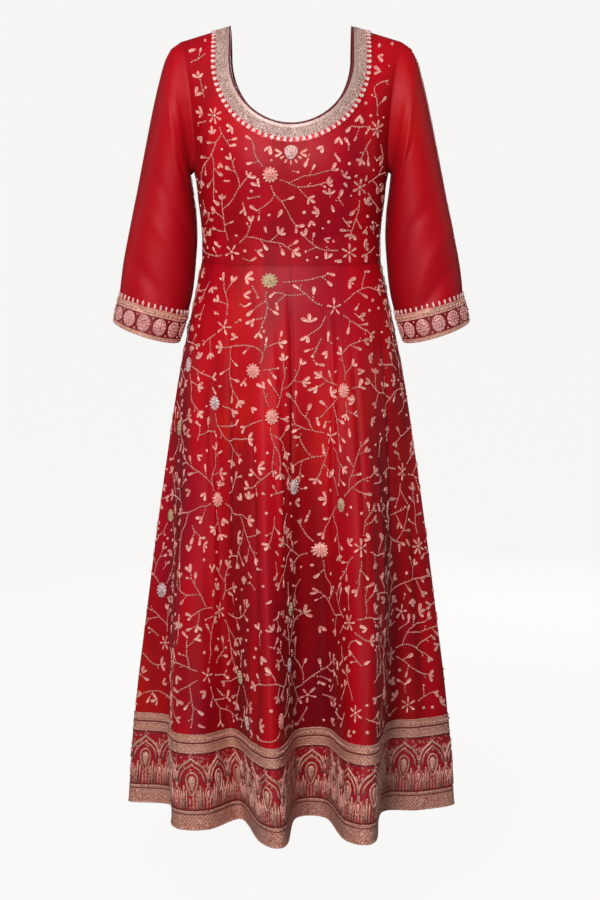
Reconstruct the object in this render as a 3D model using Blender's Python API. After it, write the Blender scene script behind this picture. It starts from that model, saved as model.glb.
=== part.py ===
"""Anarkali kurta: a fitted bodice, three-quarter sleeves and a flared skirt of twelve kalis with a wide hem border.

The garment is worn, so it keeps its hollow form. The front faces -Y and +X is the wearer's left. The origin is the
middle of the shoulders, level with the two high points of the neck. Lengths are in metres.

Every panel is a grid of points on the garment's surface. Panels that meet share their seam points and the normals
there, and each wall is then drawn back a little from its edges, which leaves the seam.
"""

import math
from collections import namedtuple

import bmesh
import bpy
from mathutils import Vector

# Cloth and trim
CLOTH = 0.0015
BORDER_CLOTH = 0.0013
SEAM_DRAW = 0.00025
LAY_GAP = 0.0004
PIPING_RADIUS = 0.0016

# Neck, shoulders and armholes
NECK_HALF = 0.0965
NECK_STRAIGHT = 0.050
NECK_ROUND_FRONT = 0.099
NECK_ROUND_BACK = 0.105
NECK_BAND = 0.0275
SHOULDER_TIP = 0.172
SHOULDER_DROP = 0.023
SHOULDER_TURN = 0.130
UNDERARM_HALF = 0.1520
UNDERARM_Z = -0.2206
ARMHOLE_INSET_FRONT = 0.008
ARMHOLE_INSET_BACK = 0.007
UNDERARM_SWEEP = 0.20

# Beaded motif below the neck band
MOTIF_HALF_WIDTH = 0.0125
MOTIF_HALF_HEIGHT = 0.0105
MOTIF_HALF_DEPTH = 0.0022
MOTIF_BELOW = 0.004
MOTIF_SEGMENTS = 16
MOTIF_RINGS = 8

# Bust of the cut, on a general figure
BUST_HALF_SPAN = 0.078
BUST_Z = -0.195
BUST_SPREAD = 0.058
BUST_RISE = 0.010

# Waist, skirt and border
WAIST_Z = -0.3638
HEM_Z = -1.2430
BORDER_HEIGHT = 0.150
KALIS = 12

# How finely the panels are divided
LOWER_ROWS = 5
UPPER_ROWS = 10
MAIN_COLUMNS = 8
BAND_COLUMNS = 2
KALI_COLUMNS = 9
BORDER_ROWS = 2
SKIRT_SHARES = (0.0, 0.08, 0.18, 0.30, 0.44, 0.58, 0.71)
FOLD_SAMPLES = 64
SHARP_EDGE = math.radians(50)

# Cross-sections are superellipses: this power at the bodice, plain ellipses at the hem
BODICE_POWER = 2.2
HEM_POWER = 2.0
POWER_SHARE = 0.33
SIDE_BLEND = 8.0

Level = namedtuple("Level", "z half_width front back")
BODICE_LEVELS = (
    Level(0.000, 0.1980, 0.080, 0.074),
    Level(-0.050, 0.1900, 0.086, 0.082),
    Level(-0.100, 0.1780, 0.094, 0.088),
    Level(-0.150, 0.1630, 0.104, 0.091),
    Level(-0.190, 0.1545, 0.113, 0.091),
    Level(-0.2206, 0.1520, 0.117, 0.089),
    Level(-0.2420, 0.1480, 0.116, 0.087),
    Level(-0.2674, 0.1455, 0.113, 0.086),
    Level(-0.2990, 0.1415, 0.107, 0.084),
    Level(-0.3306, 0.1395, 0.101, 0.084),
    Level(-0.3638, 0.1400, 0.100, 0.088),
)
SKIRT_LEVELS = (
    Level(-0.3638, 0.1400, 0.100, 0.088),
    Level(-0.4257, 0.1531, 0.119, 0.112),
    Level(-0.5533, 0.1785, 0.148, 0.147),
    Level(-0.6822, 0.1985, 0.172, 0.172),
    Level(-0.8122, 0.2171, 0.194, 0.193),
    Level(-0.9433, 0.2342, 0.214, 0.211),
    Level(-1.0757, 0.2507, 0.234, 0.228),
    Level(-1.2430, 0.2635, 0.256, 0.246),
)

# A row for each turn of the hem in plan, from the wearer's right side by the front and round the back: how far it lies
# to the left and forward, and the share of the skirt's height where its fold begins
Turn = namedtuple("Turn", "across forward start")
HEM_TURNS = (
    Turn(-0.2635, 0.004, 0.00),
    Turn(-0.193, 0.028, 0.12),
    Turn(-0.183, 0.150, 0.06),
    Turn(-0.132, 0.166, 0.06),
    Turn(-0.078, 0.106, 0.10),
    Turn(-0.044, 0.236, 0.00),
    Turn(-0.011, 0.256, 0.00),
    Turn(0.004, 0.104, 0.04),
    Turn(0.056, 0.100, 0.04),
    Turn(0.086, 0.224, 0.00),
    Turn(0.126, 0.235, 0.00),
    Turn(0.142, 0.070, 0.12),
    Turn(0.204, 0.056, 0.12),
    Turn(0.262, 0.018, 0.00),
    Turn(0.196, -0.048, 0.10),
    Turn(0.224, -0.128, 0.00),
    Turn(0.140, -0.120, 0.08),
    Turn(0.146, -0.206, 0.00),
    Turn(0.098, -0.222, 0.00),
    Turn(0.068, -0.128, 0.06),
    Turn(0.010, -0.245, 0.00),
    Turn(-0.042, -0.236, 0.00),
    Turn(-0.058, -0.132, 0.10),
    Turn(-0.118, -0.222, 0.02),
    Turn(-0.132, -0.112, 0.06),
    Turn(-0.216, -0.136, 0.00),
    Turn(-0.190, -0.052, 0.12),
)

# A row for each ring of the left sleeve below the armhole: its outer and inner points, its half depth, how far it
# swings forward, and how much of the armhole's own shape is left
Ring = namedtuple("Ring", "outer_x outer_z inner_x inner_z depth forward armhole")
SLEEVE_RINGS = (
    Ring(0.1870, -0.0335, 0.1600, -0.2290, 0.056, 0.000, 0.40),
    Ring(0.1965, -0.0520, 0.1575, -0.2380, 0.060, 0.000, 0.20),
    Ring(0.2065, -0.0870, 0.1558, -0.2500, 0.061, 0.001, 0.10),
    Ring(0.2165, -0.1300, 0.1536, -0.2660, 0.059, 0.002, 0.0),
    Ring(0.2285, -0.1893, 0.1508, -0.2900, 0.057, 0.004, 0.0),
    Ring(0.2400, -0.2480, 0.1495, -0.3250, 0.055, 0.007, 0.0),
    Ring(0.2525, -0.3090, 0.1518, -0.3640, 0.053, 0.011, 0.0),
    Ring(0.2640, -0.3690, 0.1565, -0.4080, 0.051, 0.015, 0.0),
    Ring(0.2705, -0.4190, 0.1655, -0.4465, 0.050, 0.018, 0.0),
    Ring(0.2745, -0.4380, 0.1722, -0.4675, 0.050, 0.019, 0.0),
    Ring(0.2790, -0.4570, 0.1790, -0.4885, 0.050, 0.020, 0.0),
)
CUFF_RINGS = 2
CUFF_DIP = 0.006

Finish = namedtuple("Finish", "colour roughness metallic")
CRIMSON = Finish((0.45, 0.008, 0.016, 1), 0.55, 0.0)
DEEP_RED = Finish((0.24, 0.010, 0.018, 1), 0.60, 0.0)
ROSE_GOLD = Finish((0.60, 0.33, 0.24, 1), 0.42, 0.35)
SILVER_PINK = Finish((0.72, 0.55, 0.48, 1), 0.35, 0.40)

Panel = namedtuple("Panel", "name points faces")


def smooth_curve(places, values):
    """A monotone cubic through the given points, as a function of place. Places may run either way."""
    pairs = sorted(zip(places, values))
    xs = [pair[0] for pair in pairs]
    ys = [pair[1] for pair in pairs]
    rises = [(ys[i + 1] - ys[i]) / (xs[i + 1] - xs[i]) for i in range(len(xs) - 1)]
    slopes = [rises[0]]
    for before, after in zip(rises, rises[1:]):
        slopes.append(2 * before * after / (before + after) if before * after > 0 else 0.0)
    slopes.append(rises[-1])

    def value(x):
        x = min(max(x, xs[0]), xs[-1])
        i = max(j for j in range(len(rises)) if xs[j] <= x)
        width = xs[i + 1] - xs[i]
        t = (x - xs[i]) / width
        return (
            ys[i] * (1 + 2 * t) * (1 - t) ** 2
            + ys[i + 1] * t * t * (3 - 2 * t)
            + slopes[i] * width * t * (1 - t) ** 2
            - slopes[i + 1] * width * t * t * (1 - t)
        )

    return value


def column(table, name):
    """One column of a table of levels, as a smooth function of height."""
    return smooth_curve([row.z for row in table], [getattr(row, name) for row in table])


BODICE = {name: column(BODICE_LEVELS, name) for name in ("half_width", "front", "back")}
SKIRT = {name: column(SKIRT_LEVELS, name) for name in ("half_width", "front", "back")}


def mix(a, b, share):
    return a + (b - a) * share


def rounded(value, power):
    """A sine or cosine bent to a superellipse of this power."""
    return math.copysign(abs(value) ** (2 / power), value)


# The bodice


def shoulder_height(x):
    """Height of the shoulder seam at this distance from the centre."""
    slope = SHOULDER_DROP / (SHOULDER_TIP - NECK_HALF)
    return -slope * max(abs(x) - NECK_HALF, 0)


def angle_at(x, z):
    """Angle of the bodice's section at which it reaches x at height z."""
    share = min(x / BODICE["half_width"](z), 1)
    return math.asin(share ** (BODICE_POWER / 2))


def bodice_point(side, angle, z):
    """Point of the bodice. side is "front" or "back", the angle is 0 at its centre and a right angle at its side."""
    x = BODICE["half_width"](z) * rounded(math.sin(angle), BODICE_POWER)
    fall = min(max(shoulder_height(x) - z, 0) / SHOULDER_TURN, 1)
    depth = BODICE[side](z) * math.sqrt(1 - (1 - fall) ** 2)
    y = depth * rounded(max(math.cos(angle), 0), BODICE_POWER)
    if side == "back":
        return Vector((x, y, z))
    off_span = (abs(x) - BUST_HALF_SPAN) / BUST_SPREAD
    off_level = (z - BUST_Z) / BUST_SPREAD
    fade = min(1, 4 * max(math.cos(angle), 0))
    return Vector((x, -y - fade * BUST_RISE * math.exp(-off_span**2 - off_level**2), z))


def neck_line(side, share):
    """(neck edge, outer edge of the band) as (x, z), from the bottom of the neck to the shoulder."""
    drop = NECK_ROUND_FRONT if side == "front" else NECK_ROUND_BACK
    quarter = math.pi * (NECK_HALF + drop) / 4
    run = share * (quarter + NECK_STRAIGHT)
    if run < quarter:
        angle = run / quarter * math.pi / 2
        x = NECK_HALF * math.sin(angle)
        z = -NECK_STRAIGHT - drop * math.cos(angle)
        return (x, z), (x + NECK_BAND * math.sin(angle), z - NECK_BAND * math.cos(angle))
    rise = (run - quarter) / NECK_STRAIGHT
    z = mix(-NECK_STRAIGHT, 0, rise)
    outer = NECK_HALF + NECK_BAND
    return (NECK_HALF, z), (outer, z + shoulder_height(outer) * rise)


def armhole(side, share):
    """Point of the armhole as (x, z), from the underarm to the tip of the shoulder."""
    inset = ARMHOLE_INSET_FRONT if side == "front" else ARMHOLE_INSET_BACK
    turn = math.pi * (1 - share)
    down = (1 - math.cos(turn)) / 2
    x = mix(SHOULDER_TIP, UNDERARM_HALF, down) - inset * math.sin(turn)
    return x, mix(-SHOULDER_DROP, UNDERARM_Z, down)


def underarm_sweep(out):
    """How far the rows of the bodice dip on their way to the underarm, so that none lies close along the armhole."""
    return UNDERARM_SWEEP * out**3 * (1 - out)


def half_bodice(side):
    """(lower rows, upper rows) of points of one half, each row from the centre or the neck to the side or armhole."""
    _, band_bottom = neck_line(side, 0)
    lower = []
    for i in range(LOWER_ROWS + 1):
        share = i / LOWER_ROWS
        row = []
        for j in range(MAIN_COLUMNS + 1):
            out = j / MAIN_COLUMNS
            z = mix(mix(WAIST_Z, band_bottom[1], share), mix(WAIST_Z, UNDERARM_Z, share), out)
            row.append(bodice_point(side, out * math.pi / 2, z - underarm_sweep(out) * share))
        lower.append(row)
    upper = []
    for i in range(UPPER_ROWS + 1):
        share = i / UPPER_ROWS
        neck, edge = neck_line(side, share)
        arm = armhole(side, share)
        row = []
        for j in range(BAND_COLUMNS):
            out = j / BAND_COLUMNS
            x = mix(neck[0], edge[0], out)
            z = mix(neck[1], edge[1], out)
            row.append(bodice_point(side, angle_at(x, z), z))
        for j in range(MAIN_COLUMNS + 1):
            out = j / MAIN_COLUMNS
            z = mix(edge[1], arm[1], out) - underarm_sweep(out) * (1 - share) ** 4
            by_angle = mix(angle_at(*edge), angle_at(*arm), out)
            by_width = angle_at(mix(edge[0], arm[0], out), z)
            row.append(bodice_point(side, mix(by_angle, by_width, share), z))
        upper.append(row)
    return lower, upper


def outward(points, faces, inside):
    """The faces, all turned so that they look away from the points that inside gives for their middles."""
    facing = 0
    for a, b, c, d in faces:
        normal = (points[c] - points[a]).cross(points[d] - points[b])
        middle = (points[a] + points[b] + points[c] + points[d]) / 4
        facing += normal.dot(middle - inside(middle))
    return faces if facing > 0 else [face[::-1] for face in faces]


def centre_line(point):
    return Vector((0, 0, point.z))


def joined(name, grids, inside):
    """One panel from grids of points whose shared points are made one."""
    points, faces, places = [], [], {}
    for rows in grids:
        numbers = []
        for row in rows:
            numbers.append([])
            for point in row:
                place = tuple(round(value, 6) for value in point)
                if place not in places:
                    places[place] = len(points)
                    points.append(point)
                numbers[-1].append(places[place])
        part = []
        for first, second in zip(numbers, numbers[1:]):
            for j in range(len(first) - 1):
                part.append((first[j], first[j + 1], second[j + 1], second[j]))
        faces += outward(points, part, inside)
    return Panel(name, points, faces)


def mirrored(rows):
    return [[Vector((-point.x, point.y, point.z)) for point in row] for row in rows]


def bodice_panel(side):
    lower, upper = half_bodice(side)
    return joined(f"bodice_{side}", [lower, upper, mirrored(lower), mirrored(upper)], centre_line)


def neck_band_panel(side):
    _, upper = half_bodice(side)
    band = [row[: BAND_COLUMNS + 1] for row in upper]
    return joined(f"neck_band_{side}", [band, mirrored(band)], centre_line)


# The sleeves


def armhole_loop():
    """(side, turn, point) round the left armhole, from the underarm by the front to the shoulder and back."""
    loop = []
    for side, shares in (("front", range(UPPER_ROWS + 1)), ("back", range(UPPER_ROWS - 1, 0, -1))):
        for i in shares:
            x, z = armhole(side, i / UPPER_ROWS)
            turn = math.pi * (1 - i / UPPER_ROWS)
            loop.append((side, turn, bodice_point(side, angle_at(x, z), z)))
    return loop


def sleeve_rows():
    loop = armhole_loop()
    rows = [[point for _, _, point in loop]]
    for number, ring in enumerate(SLEEVE_RINGS):
        dip = CUFF_DIP * max(0, number + 1 + CUFF_RINGS - len(SLEEVE_RINGS)) / CUFF_RINGS
        row = []
        for side, turn, start in loop:
            down = (1 - math.cos(turn)) / 2
            forward = -1 if side == "front" else 1
            inset = ARMHOLE_INSET_FRONT if side == "front" else ARMHOLE_INSET_BACK
            x = mix(ring.outer_x, ring.inner_x, down) - inset * math.sin(turn) * ring.armhole
            z = mix(ring.outer_z, ring.inner_z, down) + forward * dip * math.sin(turn)
            y = mix(forward * ring.depth * math.sin(turn) - ring.forward, start.y, ring.armhole)
            row.append(Vector((x, y, z)))
        rows.append(row)
    return [row + row[:1] for row in rows]


def sleeve_centre(point):
    """Middle of the left sleeve at about the height of this point."""
    ring = min(SLEEVE_RINGS, key=lambda ring: abs(ring.outer_z + ring.inner_z - 2 * point.z))
    return Vector(((ring.outer_x + ring.inner_x) / 2, -ring.forward, point.z))


def sleeve_panel(name, rows, hand):
    if hand > 0:
        return joined(name, [rows], sleeve_centre)

    def centre(point):
        found = sleeve_centre(Vector((-point.x, point.y, point.z)))
        return Vector((-found.x, found.y, found.z))

    return joined(name, [mirrored(rows)], centre)


# The skirt


Place = namedtuple("Place", "waist_angle hem_angle reach start")


def hem_line():
    """The places of the skirt's columns, at equal steps of cloth round the hem and so round the waist too."""
    hem = SKIRT_LEVELS[-1]
    count = len(HEM_TURNS)
    dense = []
    for i in range(count):
        around = [HEM_TURNS[(i + step) % count] for step in (-1, 0, 1, 2)]
        for sample in range(FOLD_SAMPLES):
            dense.append([soft_step(values, sample / FOLD_SAMPLES) for values in zip(*around)])
    dense.append(list(HEM_TURNS[0]))
    runs = [0.0]
    for a, b in zip(dense, dense[1:]):
        runs.append(runs[-1] + math.dist(a[:2], b[:2]))
    places, total, at = [], KALIS * KALI_COLUMNS, 0
    for number in range(total + 1):
        run = runs[-1] * number / total
        while runs[at + 1] < run and at < len(runs) - 2:
            at += 1
        share = (run - runs[at]) / (runs[at + 1] - runs[at])
        across, forward, start = [mix(a, b, share) for a, b in zip(dense[at], dense[at + 1])]
        waist_angle = math.tau * number / total - math.pi / 2
        wide, deep = across / hem.half_width, forward / (hem.front if forward > 0 else hem.back)
        hem_angle = math.atan2(wide, deep)
        hem_angle += math.tau * round((waist_angle - hem_angle) / math.tau)
        places.append(Place(waist_angle, hem_angle, math.hypot(wide, deep), start))
    return places


def soft_step(values, t):
    """Cubic between the middle two of four values, with slopes from their neighbours."""
    before, a, b, after = values
    slope_a = (b - before) / 2
    slope_b = (after - a) / 2
    return (
        a * (1 + 2 * t) * (1 - t) ** 2
        + b * t * t * (3 - 2 * t)
        + slope_a * t * (1 - t) ** 2
        - slope_b * t * t * (1 - t)
    )


def skirt_point(place, z):
    """Point of the skirt below this place of the waist. The folds grow from their start to the hem."""
    down = (WAIST_Z - z) / (WAIST_Z - HEM_Z)
    grown = max(down - place.start, 0) / (1 - place.start)
    angle = mix(place.waist_angle, place.hem_angle, grown)
    reach = mix(1, place.reach, grown)
    power = mix(BODICE_POWER, HEM_POWER, min(1, down / POWER_SHARE))
    front = (1 + math.tanh(SIDE_BLEND * math.cos(angle))) / 2
    depth = mix(SKIRT["back"](z), SKIRT["front"](z), front)
    x = SKIRT["half_width"](z) * reach * rounded(math.sin(angle), power)
    return Vector((x, -depth * reach * rounded(math.cos(angle), power), z))


def skirt_heights():
    border_share = 1 - BORDER_HEIGHT / (WAIST_Z - HEM_Z)
    shares = list(SKIRT_SHARES)
    shares += [mix(border_share, 1, i / BORDER_ROWS) for i in range(BORDER_ROWS + 1)]
    return [mix(WAIST_Z, HEM_Z, share) for share in shares]


def skirt_panels():
    places = hem_line()
    rows = [[skirt_point(place, z) for place in places] for z in skirt_heights()]
    kalis = []
    for number in range(KALIS):
        first = number * KALI_COLUMNS
        strip = [row[first : first + KALI_COLUMNS + 1] for row in rows]
        kalis.append(joined(f"skirt_kali_{number + 1:02d}", [strip], centre_line))
    return kalis, joined("hem_border", [rows[-BORDER_ROWS - 1 :]], centre_line)


# Walls from panels


def place_of(point):
    return tuple(round(value, 5) for value in point)


def shared_normals(panels):
    """One normal for each place of the garment's surface, level at the waist seam."""
    normals = {}
    for panel in panels:
        for a, b, c, d in panel.faces:
            points = panel.points
            normal = (points[c] - points[a]).cross(points[d] - points[b]).normalized()
            for corner in (a, b, c, d):
                place = place_of(points[corner])
                normals[place] = normals.get(place, Vector()) + normal
    waist = round(WAIST_Z, 5)
    for place, normal in normals.items():
        if place[2] == waist:
            normal.z = 0
        normal.normalize()
    return normals


def edges_of(faces):
    """The directed edges that only one face has."""
    edges = {edge for face in faces for edge in zip(face, face[1:] + face[:1])}
    return sorted(edge for edge in edges if edge[::-1] not in edges)


def drawn_back(panel):
    """The panel's points, with those of its edges moved in by the seam's draw."""
    towards = {}
    edge_points = {point for edge in edges_of(panel.faces) for point in edge}
    for face in panel.faces:
        middle = sum((panel.points[corner] for corner in face), Vector()) / 4
        for corner in face:
            if corner in edge_points:
                step = (middle - panel.points[corner]).normalized()
                towards[corner] = towards.get(corner, Vector()) + step
    points = [point.copy() for point in panel.points]
    for corner, step in towards.items():
        points[corner] += step.normalized() * SEAM_DRAW
    return points


def add_wall(panel, normals, lift, thickness, finish, collection):
    """Closed wall over the panel, from lift to lift plus thickness above its surface."""
    base = drawn_back(panel)
    directions = [normals[place_of(point)] for point in panel.points]
    inner = [point + way * lift for point, way in zip(base, directions)]
    outer = [point + way * (lift + thickness) for point, way in zip(base, directions)]
    count = len(base)
    faces = []
    for a, b, c, d in panel.faces:
        faces += [(a + count, b + count, c + count), (a + count, c + count, d + count)]
        faces += [(c, b, a), (d, c, a)]
    for a, b in edges_of(panel.faces):
        faces += [(a, b, b + count), (a, b + count, a + count)]
    mesh = bpy.data.meshes.new(panel.name)
    mesh.from_pydata(inner + outer, [], faces)
    mesh.shade_smooth()
    mesh.set_sharp_from_angle(angle=SHARP_EDGE)
    mesh.update()
    return add_object(panel.name, mesh, finish, collection)


def add_object(name, data, finish, collection):
    material = bpy.data.materials.new(name)
    material.use_nodes = True
    shader = material.node_tree.nodes["Principled BSDF"]
    shader.inputs["Base Color"].default_value = finish.colour
    shader.inputs["Roughness"].default_value = finish.roughness
    shader.inputs["Metallic"].default_value = finish.metallic
    data.materials.append(material)
    item = bpy.data.objects.new(name, data)
    collection.objects.link(item)
    return item


def neck_edge():
    """(edge point, point beside it on the cloth) pairs all round the neck."""
    loop = []
    for side in ("front", "back"):
        _, upper = half_bodice(side)
        left = [(row[0], row[1]) for row in upper]
        right = [tuple(mirrored([pair])[0]) for pair in left[:0:-1]]
        around = right + left
        loop += around[:-1] if side == "front" else around[:0:-1]
    return loop


def add_piping(normals, collection):
    """Round piping along the neck, beside the cut edges of the bodice and the band."""
    rise = (CLOTH + LAY_GAP + BORDER_CLOTH) / 2
    centres = []
    for edge, beside in neck_edge():
        inward = (edge - beside).normalized()
        centres.append(edge + inward * (PIPING_RADIUS + LAY_GAP) + normals[place_of(edge)] * rise)
    curve = bpy.data.curves.new("neck_piping", "CURVE")
    curve.dimensions = "3D"
    spline = curve.splines.new("POLY")
    spline.points.add(len(centres) - 1)
    for point, centre in zip(spline.points, centres):
        point.co = (*centre, 1)
    spline.use_cyclic_u = True
    curve.bevel_depth = PIPING_RADIUS
    curve.bevel_resolution = 1
    return add_object("neck_piping", curve, DEEP_RED, collection)


def add_motif(collection):
    """Domed beaded motif on the bodice, just below the middle of the front neck band."""
    _, band_bottom = neck_line("front", 0)
    z = band_bottom[1] - MOTIF_BELOW - MOTIF_HALF_HEIGHT
    above, below = (bodice_point("front", 0, z + step * MOTIF_HALF_HEIGHT) for step in (1, -1))
    up = (above - below).normalized()
    out = up.cross(Vector((-1, 0, 0)))
    mesh = bpy.data.meshes.new("neck_motif")
    dome = bmesh.new()
    bmesh.ops.create_uvsphere(dome, u_segments=MOTIF_SEGMENTS, v_segments=MOTIF_RINGS, radius=1)
    half = Vector((MOTIF_HALF_WIDTH, MOTIF_HALF_DEPTH, MOTIF_HALF_HEIGHT))
    bmesh.ops.scale(dome, vec=half, verts=dome.verts)
    dome.to_mesh(mesh)
    dome.free()
    mesh.shade_smooth()
    motif = add_object("neck_motif", mesh, SILVER_PINK, collection)
    motif.rotation_euler = Vector((0, -1, 0)).rotation_difference(out).to_euler()
    motif.location = (above + below) / 2 + out * (CLOTH + LAY_GAP + MOTIF_HALF_DEPTH)
    return motif


def main():
    for item in list(bpy.data.objects):
        bpy.data.objects.remove(item)
    collection = bpy.data.collections.new("anarkali_kurta")
    bpy.context.scene.collection.children.link(collection)

    bodice = [bodice_panel("front"), bodice_panel("back")]
    rows = sleeve_rows()
    sleeves = [sleeve_panel("sleeve_left", rows, 1), sleeve_panel("sleeve_right", rows, -1)]
    kalis, border = skirt_panels()
    cloth = bodice + sleeves + kalis
    normals = shared_normals(cloth)
    for panel in cloth:
        add_wall(panel, normals, 0, CLOTH, CRIMSON, collection)

    cuff = rows[-CUFF_RINGS - 1 :]
    bands = [neck_band_panel("front"), neck_band_panel("back")]
    cuffs = [sleeve_panel("cuff_band_left", cuff, 1), sleeve_panel("cuff_band_right", cuff, -1)]
    over = CLOTH + LAY_GAP
    for panel in bands:
        add_wall(panel, normals, over, BORDER_CLOTH, SILVER_PINK, collection)
    for panel in cuffs + [border]:
        add_wall(panel, normals, over, BORDER_CLOTH, ROSE_GOLD, collection)
    add_piping(normals, collection)
    add_motif(collection)


main()
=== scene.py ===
import math
from functools import partialmethod

import bmesh
import bpy
import numpy as np
from mathutils import Matrix, Vector
from mathutils.bvhtree import BVHTree


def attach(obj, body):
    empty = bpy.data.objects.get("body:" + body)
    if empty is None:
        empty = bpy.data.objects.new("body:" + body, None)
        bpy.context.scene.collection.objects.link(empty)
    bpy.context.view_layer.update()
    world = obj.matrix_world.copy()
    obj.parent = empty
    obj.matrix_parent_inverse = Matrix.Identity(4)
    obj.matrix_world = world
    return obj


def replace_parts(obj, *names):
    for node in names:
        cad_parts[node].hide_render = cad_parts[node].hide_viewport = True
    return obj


# Lengths are in metres. The front faces -Y and +X is the wearer's left, as in the frame.
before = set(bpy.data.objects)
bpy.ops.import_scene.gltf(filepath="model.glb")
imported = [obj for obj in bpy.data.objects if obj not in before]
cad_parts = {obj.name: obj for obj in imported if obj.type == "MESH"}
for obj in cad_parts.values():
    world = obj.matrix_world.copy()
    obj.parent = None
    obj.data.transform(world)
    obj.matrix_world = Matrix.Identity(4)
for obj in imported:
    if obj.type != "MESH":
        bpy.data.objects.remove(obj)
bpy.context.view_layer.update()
print("frame loaded:", len(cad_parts), "nodes")


# Camera, floor and light

studio = {
    "target": (0.0136, 0.0, -0.666),
    "distance": 4.0,
    "elevation": 8.0,
    "lens": 100.0,
    "sensor": 36.0,
    "floorDrop": 0.16,  # how far the floor lies below the hem
    "floorSize": 120.0,
    "paper": (0.05, 0.0495, 0.049, 1),
    "paperGlow": 0.915,  # keeps the paper pale in its own shadow
    "dullPaper": (0.22, 0.22, 0.22, 1),  # what the garment gets back from it
    "sky": (1.0, 0.992, 0.985, 1),
    "skyPower": 0.13,  # on the garment
    "skySeen": 0.9215,  # behind it
    "lampTarget": (0, 0, -0.6),
}
lamps = [  # name, place, size, watts
    ("keyLamp", (-0.50, -2.6, 0.85), 1.0, 74),
    ("highLamp", (-0.3, -1.8, 2.1), 1.1, 8),
    ("leftLamp", (3.0, 0.6, 0.3), 1.2, 8),
    ("rightLamp", (-3.0, 0.6, 0.3), 1.2, 8),
    ("rearLamp", (0.75, 2.9, 0.0), 1.1, 52),
]


def linked(name, data):
    item = bpy.data.objects.new(name, data)
    bpy.context.scene.collection.objects.link(item)
    return item


def aimed(thing, target):
    direction = np.array(target) - np.array(thing.location)
    flat = math.hypot(direction[0], direction[1])
    thing.rotation_euler = (math.atan2(flat, -direction[2]), 0, math.atan2(-direction[0], direction[1]))


def addCamera():
    data = bpy.data.cameras.new("camera")
    data.lens = studio["lens"]
    data.sensor_fit = "VERTICAL"
    data.sensor_height = studio["sensor"]
    item = linked("camera", data)
    x, y, z = studio["target"]
    rise = math.radians(studio["elevation"])
    item.location = (x, y - studio["distance"] * math.cos(rise), z + studio["distance"] * math.sin(rise))
    aimed(item, studio["target"])
    bpy.context.scene.camera = item


def addLamps():
    for name, place, size, watts in lamps:
        data = bpy.data.lights.new(name, "AREA")
        data.shape = "DISK"
        data.size = size
        data.energy = watts
        item = linked(name, data)
        item.location = place
        aimed(item, studio["lampTarget"])


def chooseForCamera(tree, other, seen, end):
    ray = tree.nodes.new("ShaderNodeLightPath")
    choice = tree.nodes.new("ShaderNodeMixShader")
    tree.links.new(ray.outputs["Is Camera Ray"], choice.inputs["Fac"])
    tree.links.new(other.outputs[0], choice.inputs[1])
    tree.links.new(seen.outputs[0], choice.inputs[2])
    tree.links.new(choice.outputs[0], end.inputs["Surface"])


def addFloor(lowest):
    half = studio["floorSize"] / 2
    mesh = bpy.data.meshes.new("floor")
    corners = [(-half, -half, lowest), (half, -half, lowest), (half, half, lowest), (-half, half, lowest)]
    mesh.from_pydata(corners, [], [(0, 1, 2, 3)])
    material = bpy.data.materials.new("paperFloor")
    material.use_nodes = True
    tree = material.node_tree
    seen = tree.nodes["Principled BSDF"]
    dull = tree.nodes.new("ShaderNodeBsdfDiffuse")
    seen.inputs["Base Color"].default_value = studio["paper"]
    seen.inputs["Roughness"].default_value = 0.9
    seen.inputs["Specular IOR Level"].default_value = 0.0
    seen.inputs["Emission Color"].default_value = studio["sky"]
    seen.inputs["Emission Strength"].default_value = studio["paperGlow"]
    dull.inputs["Color"].default_value = studio["dullPaper"]
    chooseForCamera(tree, dull, seen, tree.nodes["Material Output"])
    mesh.materials.append(material)
    item = linked("floor", mesh)


def addSky():
    world = bpy.data.worlds.new("paleRoom")
    bpy.context.scene.world = world
    world.use_nodes = True
    tree = world.node_tree
    light = tree.nodes["Background"]
    light.inputs["Color"].default_value = studio["sky"]
    light.inputs["Strength"].default_value = studio["skyPower"]
    seen = tree.nodes.new("ShaderNodeBackground")
    seen.inputs["Color"].default_value = studio["sky"]
    seen.inputs["Strength"].default_value = studio["skySeen"]
    chooseForCamera(tree, light, seen, tree.nodes["World Output"])
    bpy.context.scene.view_settings.view_transform = "Standard"


# The cut of the garment, as in the frame

cut = {
    "neckHalf": 0.0965,
    "neckStraight": 0.050,
    "neckRound": {"front": 0.099, "back": 0.105},
    "neckBand": 0.0275,
    "shoulderTip": 0.172,
    "shoulderDrop": 0.023,
    "shoulderTurn": 0.130,
    "underarmHalf": 0.1520,
    "underarmZ": -0.2206,
    "armholeInset": {"front": 0.008, "back": 0.007},
    "underarmSweep": 0.20,
    "bustHalfSpan": 0.078,
    "bustZ": -0.195,
    "bustSpread": 0.058,
    "bustRise": 0.010,
    "waistZ": -0.3638,
    "hemZ": -1.2430,
    "border": 0.150,
    "kalis": 12,
    "bodicePower": 2.2,
    "hemPower": 2.0,
    "powerShare": 0.33,
    "sideBlend": 8.0,
    "waistCalm": 0.03,  # above the waist, where the bodice's creases fade
}
bodiceLevels = {
    "z": (0, -0.05, -0.10, -0.15, -0.19, -0.2206, -0.242, -0.2674, -0.299, -0.3306, -0.3638),
    "halfWidth": (0.198, 0.19, 0.178, 0.163, 0.1545, 0.152, 0.148, 0.1455, 0.1415, 0.1395, 0.14),
    "front": (0.08, 0.086, 0.094, 0.104, 0.113, 0.117, 0.116, 0.113, 0.107, 0.101, 0.1),
    "back": (0.074, 0.082, 0.088, 0.091, 0.091, 0.089, 0.087, 0.086, 0.084, 0.084, 0.088),
}
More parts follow.
